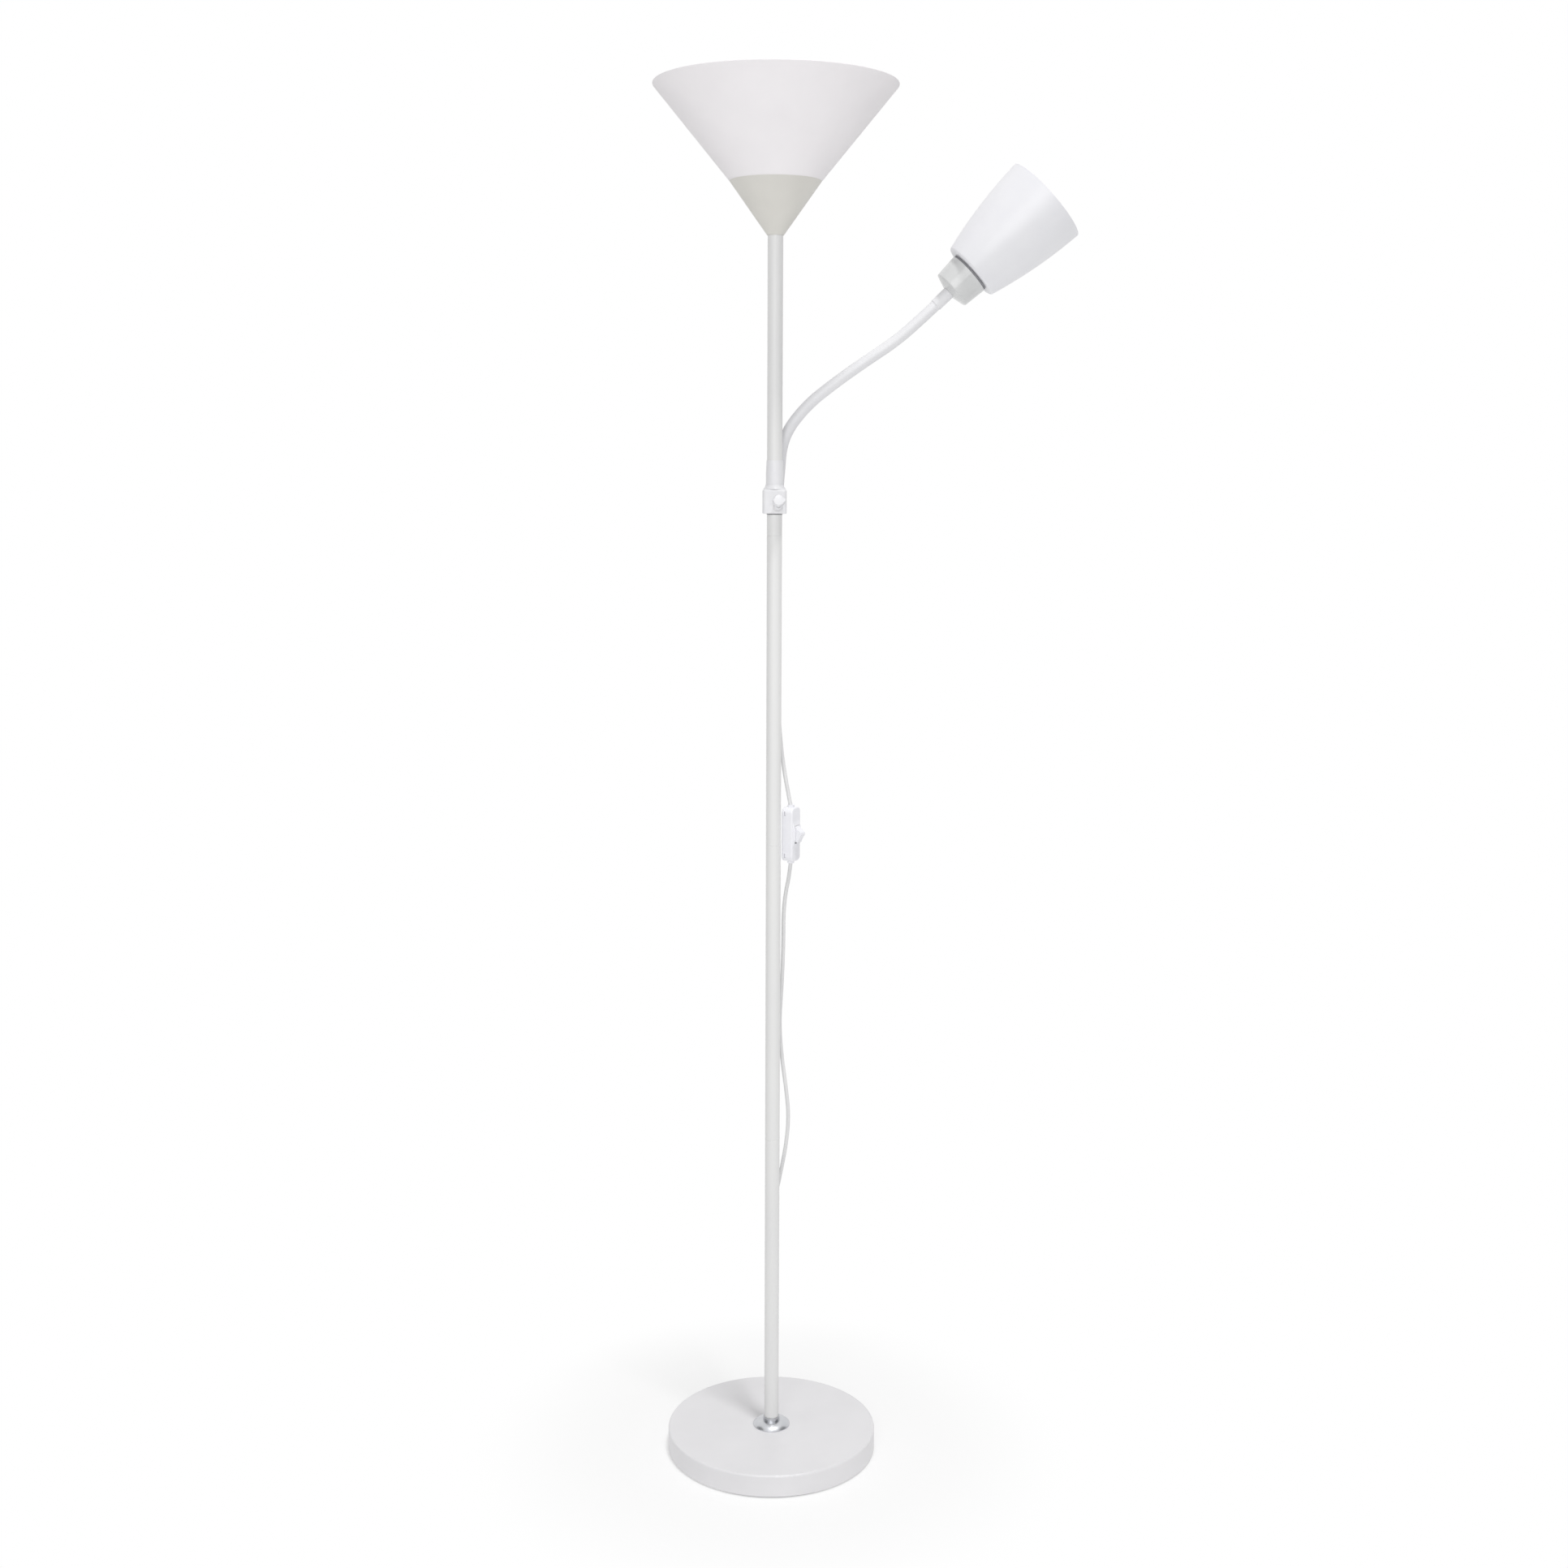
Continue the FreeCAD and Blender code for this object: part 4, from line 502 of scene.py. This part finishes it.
# %% Bare metal
mottled(
    "zinc_steel", tone(206, 207, 208), tone(188, 190, 193), 4, (0.28, 0.42), 0.6, 0.02, metal=1.0)
mottled(
    "chrome", tone(206, 207, 210), tone(196, 198, 202), 12, (0.27, 0.33), 2.0, 0.002, metal=1.0)
mottled(
    "brass", tone(226, 201, 140), tone(206, 178, 112), 3, (0.22, 0.34), 0.5, 0.01, metal=1.0)

# %% [markdown]
# The plastics differ by gloss and warmth. The clamp is nylon with a waxy sheen, the switch and
# the reading shade are smoother and slightly cool, and the reading light's holder is the
# glossiest. The arm's sleeve and the lead are soft vinyl, which dulls in patches where it is
# handled. Rubber is the dullest, and the lamp holders' ceramic is glazed.

# %% Plastics
mottled(
    "clamp_plastic", tone(237, 237, 239), tone(232, 232, 235), 14, (0.36, 0.48), 0.8, 0.006)
mottled(
    "sleeve_plastic", tone(233, 233, 235), tone(229, 229, 232), 35, (0.42, 0.52), 6.0, 0.004)
mottled(
    "lead_vinyl", tone(231, 231, 231), tone(224, 224, 225), 25, (0.42, 0.55), 0.9, 0.006)
mottled(
    "switch_plastic", tone(245, 245, 249), tone(241, 241, 246), 16, (0.28, 0.36), 1.0, 0.003)
mottled(
    "reading_shade_plastic", tone(236, 236, 239), tone(232, 232, 236), 45, (0.30, 0.38), 1.5, 0.003)
mottled(
    "reading_holder_plastic", tone(214, 215, 215), tone(209, 210, 210), 25, (0.13, 0.18), 1.5, 0.001)
mottled(
    "holder_plastic", tone(233, 232, 228), tone(226, 225, 220), 20, (0.40, 0.55), 0.7, 0.012)
mottled(
    "dark_plastic", tone(44, 44, 45), tone(34, 34, 35), 15, (0.38, 0.52), 0.6, 0.015)
mottled(
    "grey_rubber", tone(146, 146, 150), tone(134, 134, 138), 8, (0.60, 0.72), 0.8, 0.01)
mottled(
    "ceramic", tone(240, 238, 231), tone(232, 229, 220), 12, (0.14, 0.26), 1.5, 0.02)

# %% [markdown]
# The large shade is a thin translucent plastic with a fine moulded texture, matte outside, and
# it passes a little light, so it is never quite black inside. The felt under the base is the
# one fibrous surface.

# %% Shade and felt
mottled(
    "shade_plastic", tone(243, 240, 242), tone(239, 236, 238), 60, (0.55, 0.66), 1.0, 0.012)
shade_shader = FINISHES["shade_plastic"].node_tree.nodes["Principled BSDF"]
shade_shader.inputs["Subsurface Weight"].default_value = 0.15
shade_shader.inputs["Subsurface Radius"].default_value = (0.004, 0.004, 0.004)
shade_shader.inputs["Subsurface Scale"].default_value = 1.0
mottled(
    "felt", tone(128, 128, 130), tone(92, 92, 95), 2.5, (0.9, 1.0), 0.6, 0.3)
print("finishes:", len(FINISHES))

# %% [markdown]
# Every solid says which slot its finish comes from, in the record's list of materials. The same
# names are used here, so one loop dresses them all.

# %% Dress the solids
def dress(piece, name):
    """Gives a piece one finish all over."""
    finish = FINISHES[name]
    if not piece.data.materials:
        piece.data.materials.append(finish)
    for place in piece.material_slots:
        place.material = finish
    return piece


for part in frame["record"]["subparts"]:
    dress(frame["nodes"][part["node"]], part["material_slot"])

# %% [markdown]
# ## The flexible arm
#
# The arm is a steel spring in a smooth white sleeve. The solids stand for it as a chain of
# links, and the sleeve has to bend smoothly over all of them. It is one tube along the arm's
# line, cut into six pieces at the middle of each link, and each piece reaches across one hinge.

# %% The arm's line
ARM_Y = 19.5
ARM_THICK = 14.0
ARM_FOOT = (4.3, 1277.4)
ARM_LEAN = 4.7
STUB = 40.1
LINK = 46.5
BENDS = [31.9, 15.0, 3.4, 1.7, -8.4, -1.7]
SUNK_IN_BLOCK = 12.0


def heading(angle):
    """The direction that leans towards the reading light by that many degrees."""
    return Vector((math.sin(math.radians(angle)), 0, math.cos(math.radians(angle))))


foot = Vector((ARM_FOOT[0], ARM_Y, ARM_FOOT[1]))
hinges = [foot + heading(ARM_LEAN) * STUB]
turns = [ARM_LEAN]
corners = []
for bend in BENDS:
    half = math.radians(bend) / 2
    run = LINK / 2 * math.tan(half) / half
    corner = hinges[-1] + heading(turns[-1]) * run
    turns.append(turns[-1] + bend)
    corners.append(corner)
    hinges.append(corner + heading(turns[-1]) * run)
before = hinges[0] * 2 - corners[0]
arm_route = [foot - heading(ARM_LEAN) * SUNK_IN_BLOCK, before, *corners, hinges[-1]]
print("arm ends at", [round(value, 1) for value in hinges[-1]])

# %% [markdown]
# At each corner the spline passes about halfway between the corner and the middle of the line
# that joins the hinges on its two sides, so the middle of each bend is known without measuring
# the tube. Those middles are where the pieces meet. Neighbours share one flat cut, and each
# bends from one cut to the next.

# %% Sleeve
SLEEVE_ROUNDNESS = 10
CUT_EXACT = 1e-6

middles = [(hinges[k] + corners[k] * 2 + hinges[k + 1]) / 4 for k in range(len(BENDS))]
ARM_NODES = [["gooseneck_stub"], ["gooseneck_link_1"], ["gooseneck_link_2"], ["gooseneck_link_3"],
             ["gooseneck_link_4"], ["gooseneck_link_5", "gooseneck_link_6"]]


def cut_off(piece, point, direction):
    """Cuts the piece by a plane, throws away what lies ahead of it, and closes the end."""
    take(piece)
    bpy.ops.object.mode_set(mode="EDIT")
    bpy.ops.mesh.select_all(action="SELECT")
    bpy.ops.mesh.bisect(
        plane_co=point * MM, plane_no=direction, use_fill=True, clear_outer=True, threshold=CUT_EXACT)
    bpy.ops.object.mode_set(mode="OBJECT")
    bpy.ops.object.shade_smooth_by_angle(angle=CREASE)


sleeve = spline_of("sleeve_whole", [tuple(point) for point in arm_route], ARM_THICK)
sleeve.data.bevel_resolution = SLEEVE_ROUNDNESS
as_mesh(sleeve)
for k in range(len(BENDS)):
    take(sleeve)
    bpy.ops.object.duplicate()
    piece = bpy.context.object
    piece.name = f"sleeve_{k + 1}"
    if k < len(BENDS) - 1:
        cut_off(piece, middles[k], heading((turns[k] + turns[k + 1]) / 2))
    if k > 0:
        cut_off(piece, middles[k - 1], -heading((turns[k - 1] + turns[k]) / 2))
    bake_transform(piece)
    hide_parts(*ARM_NODES[k])
    dress(piece, "sleeve_plastic")
    tell(piece)
bpy.data.objects.remove(sleeve)

# %% [markdown]
# ## Turned pieces
#
# A ring is a cylinder whose two ends are inset and joined through, with its outer edges eased.
# It is made upright at the origin, and then stood on the line that it is turned about.

# %% Choosing and placing
TOUCH = 0.05
TURNED_CREASE = math.radians(35)
ROUND_SIDES = 64
END_FACING = 0.9
EASE_STEPS = 3


def choose(piece, kind, test):
    """Opens the piece for editing with only the faces, edges or corners selected that pass."""
    take(piece)
    bpy.ops.object.mode_set(mode="EDIT")
    bpy.ops.mesh.select_mode(type=kind)
    bpy.ops.mesh.select_all(action="DESELECT")
    bpy.ops.object.mode_set(mode="OBJECT")
    mesh = piece.data
    for item in {"VERT": mesh.vertices, "EDGE": mesh.edges, "FACE": mesh.polygons}[kind]:
        item.select = test(item)
    bpy.ops.object.mode_set(mode="EDIT")


def around(piece, radius, level):
    """A test for the edges of a circle about the upright axis, sized in millimetres."""
    def passes(edge):
        ends = [piece.data.vertices[index].co / MM for index in edge.vertices]
        return all(abs(end.xy.length - radius) < TOUCH and abs(end.z - level) < TOUCH for end in ends)
    return passes


def stand(piece, place):
    """The piece takes its place in the lamp, which goes into its mesh, and smooth shading."""
    take(piece)
    piece.matrix_world = place
    bpy.ops.object.transform_apply(location=True, rotation=True, scale=True)
    bpy.ops.object.mode_set(mode="EDIT")
    bpy.ops.mesh.select_all(action="SELECT")
    bpy.ops.mesh.normals_make_consistent(inside=False)
    bpy.ops.object.mode_set(mode="OBJECT")
    bpy.ops.object.shade_smooth_by_angle(angle=TURNED_CREASE)
    tell(piece)
    return piece


def cylinder(name, radius, low, high, sides=ROUND_SIDES):
    """A closed cylinder on the upright axis, with its sizes in millimetres."""
    let_go()
    bpy.ops.mesh.primitive_cylinder_add(
        vertices=sides, radius=radius * MM, depth=(high - low) * MM,
        location=(0, 0, (low + high) / 2 * MM))
    piece = bpy.context.object
    piece.name = name
    bpy.ops.object.transform_apply(location=True, rotation=True, scale=True)
    return piece


def bore_through(piece, wall):
    """Insets both ends by the wall and joins them through."""
    choose(piece, "FACE", lambda face: abs(face.normal.z) > END_FACING)
    bpy.ops.mesh.inset(thickness=wall * MM, use_individual=True)
    bpy.ops.mesh.bridge_edge_loops()
    bpy.ops.object.mode_set(mode="OBJECT")


def ease(piece, radius, level, width):
    """Rounds one circular edge."""
    choose(piece, "EDGE", around(piece, radius, level))
    bpy.ops.mesh.bevel(offset=width * MM, segments=EASE_STEPS, affect="EDGES")
    bpy.ops.object.mode_set(mode="OBJECT")


def ring(name, bore, radius, low, high, edge):
    """A bored cylinder with both outer edges rounded, in millimetres."""
    piece = cylinder(name, radius, low, high)
    bore_through(piece, radius - bore)
    ease(piece, radius, low, edge)
    ease(piece, radius, high, edge)
    return piece


# %% [markdown]
# Where the arm enters the reading light it wears a ferrule, a little wider than the sleeve. It
# reaches back over the sleeve's end, and that step is the fine line seen across the arm. Between
# the lamp holder's cover and the shade a grey ring seats the shade in the narrow gap. Its grey is
# painted shade, standing in for the shadow in that gap, which shows as a thin dark crescent.

# %% Ferrule and the grey ring in the gap
FERRULE_LOW = -6.0
FERRULE_HIGH = 16.3
FERRULE_RADIUS = 7.7
FERRULE_EDGE = 0.3
SLEEVE_PLAY = 0.03
GAP_RING_LOW = 49.2
GAP_RING_HIGH = 51.8
GAP_RING_RADIUS = 26.9
GAP_RING_WALL = 2.0
GAP_RING_EDGE = 0.2

head_turn = Vector((0, 0, 1)).rotation_difference(heading(turns[-1])).to_matrix().to_4x4()
head_place = Matrix.Translation(hinges[-1] * MM) @ head_turn

ferrule = ring(
    "ferrule", ARM_THICK / 2 + SLEEVE_PLAY, FERRULE_RADIUS, FERRULE_LOW, FERRULE_HIGH, FERRULE_EDGE)
stand(ferrule, head_place)
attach(ferrule, "head")
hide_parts("neck_ferrule")
dress(ferrule, "sleeve_plastic")

# The ring's grey is painted shade for the shadowed gap between the holder and the shade.
seat_ring_painted_shade = ring("seat_ring_painted_shade", GAP_RING_RADIUS - GAP_RING_WALL, GAP_RING_RADIUS, GAP_RING_LOW, GAP_RING_HIGH, GAP_RING_EDGE)
stand(seat_ring_painted_shade, head_place)
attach(seat_ring_painted_shade, "head")
dress(seat_ring_painted_shade, "grey_rubber")

# %% [markdown]
# The clamp's block doesn't end in a sharp top: a cove runs from its front up to the neck. It is
# a ring drawn in at half its height and drawn in further at its top, which makes its outline
# hollow. Below the block the pole wears a thin dark ring: painted shade, standing in for the
# shade that the block casts on the pole.

# %% Cove and the painted shade under the block
BLOCK_TOP = 1277.4
BLOCK_BOTTOM = 1247.2
NECK_RADIUS = 10.8
COVE_RADIUS = 14.3
COVE_HEIGHT = 5.5
COVE_PLAY = 0.12
COVE_LIP = 0.2
COVE_LEVELS = [(0.5, 0.28), (1.0, 0.08)]
POLE_RADIUS = 9.5
UNDER_BLOCK_PLAY = 0.08
UNDER_BLOCK_WALL = 0.5
UNDER_BLOCK_TOP = 0.1
UNDER_BLOCK_FOOT = 0.9
UNDER_BLOCK_EDGE = 0.1

cove = cylinder("clamp_cove", COVE_RADIUS, BLOCK_TOP, BLOCK_TOP + COVE_HEIGHT)
bore_through(cove, COVE_RADIUS - NECK_RADIUS - COVE_PLAY)
waist = (BLOCK_TOP + COVE_HEIGHT * COVE_LEVELS[0][0]) * MM
choose(cove, "FACE", lambda face: True)
bpy.ops.mesh.bisect(plane_co=(0, 0, waist), plane_no=(0, 0, 1), threshold=CUT_EXACT)
for level, share in COVE_LEVELS:
    height = BLOCK_TOP + COVE_HEIGHT * level
    choose(cove, "EDGE", around(cove, COVE_RADIUS, height))
    shrink = (NECK_RADIUS + COVE_LIP + (COVE_RADIUS - NECK_RADIUS) * share) / COVE_RADIUS
    bpy.ops.transform.resize(value=(shrink, shrink, 1.0), center_override=(0, 0, height * MM))
bpy.ops.object.mode_set(mode="OBJECT")
stand(cove, Matrix())
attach(cove, "clamp")
dress(cove, "clamp_plastic")

# A thin dark ring just under the block: painted shade where the block shades the pole.
under_block_shade = ring(
    "clamp_painted_shade_ring", POLE_RADIUS + UNDER_BLOCK_PLAY, POLE_RADIUS + UNDER_BLOCK_WALL,
    BLOCK_BOTTOM - UNDER_BLOCK_FOOT, BLOCK_BOTTOM - UNDER_BLOCK_TOP, UNDER_BLOCK_EDGE)
stand(under_block_shade, Matrix())
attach(under_block_shade, "clamp_slider")
dress(under_block_shade, "dark_plastic")

# %% [markdown]
# The clamp's screw is turned by a lopsided head with a beak on its right. It starts as an
# eight-sided cylinder, each of its upright edges is pulled to where the photograph shows a
# corner, and all its edges are rounded. A round hub joins it to the brass stud.

# %% Screw head
SCREW_LEVEL = 1248.1
SCREW_SIDEWAYS = math.radians(12)
SCREW_RISE = math.radians(25)
HEAD_LOW = 23.4
HEAD_HIGH = 29.6
HUB_LOW = 19.0
HUB_RADIUS = 5.3
HUB_BORE = 3.2
HUB_PLAY = 0.02
HUB_EDGE = 0.5
HEAD_EDGE = 1.1
NEAR_CORNER = 0.1
HEAD_MIDDLE = Vector((0.3, 4.3))
HEAD_START = 7.0
HEAD_CORNERS = [
    (9.9, 4.2),
    (5.1, 10.1),
    (0.7, 12.5),
    (-3.0, 10.9),
    (-7.3, 4.4),
    (-5.1, -1.1),
    (0.0, -3.8),
    (4.4, -1.0),
]

rightwards = Vector((math.cos(SCREW_SIDEWAYS), math.sin(SCREW_SIDEWAYS), 0))
outwards = Vector((
    math.sin(SCREW_SIDEWAYS) * math.cos(SCREW_RISE),
    -math.cos(SCREW_SIDEWAYS) * math.cos(SCREW_RISE),
    math.sin(SCREW_RISE),
))
screw_turn = Matrix((rightwards, outwards.cross(rightwards), outwards)).transposed().to_4x4()
screw_place = Matrix.Translation((0, 0, SCREW_LEVEL * MM)) @ screw_turn

screw_head = cylinder("screw_head", HEAD_START, HEAD_LOW, HEAD_HIGH, sides=len(HEAD_CORNERS))
screw_head.location = (HEAD_MIDDLE.x * MM, HEAD_MIDDLE.y * MM, 0)
bpy.ops.object.transform_apply(location=True, rotation=True, scale=True)
for step, corner in enumerate(HEAD_CORNERS):
    angle = math.radians(360 / len(HEAD_CORNERS) * step)
    start = HEAD_MIDDLE + Vector((math.cos(angle), math.sin(angle))) * HEAD_START
    pull = (Vector(corner) - start) * MM
    choose(screw_head, "VERT", lambda point: (point.co.xy / MM - start).length < NEAR_CORNER)
    bpy.ops.transform.translate(value=(pull.x, pull.y, 0))
choose(screw_head, "FACE", lambda face: True)
bpy.ops.mesh.bevel(offset=HEAD_EDGE * MM, segments=EASE_STEPS, affect="EDGES")
bpy.ops.object.mode_set(mode="OBJECT")
stand(screw_head, screw_place)
hub = ring("screw_hub", HUB_BORE, HUB_RADIUS, HUB_LOW, HEAD_LOW - HUB_PLAY, HUB_EDGE)
stand(hub, screw_place)
for piece in (screw_head, hub):
    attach(piece, "clamp_screw")
    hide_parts("clamp_wing")
    dress(piece, "clamp_plastic")

# %% [markdown]
# The leads were made before there was a finish to give them.

# %% Dress the leads
for piece in (lead_top, lead_middle, lead_lower):
    dress(piece, "lead_vinyl")

# %% Update the scene
bpy.context.view_layer.update()
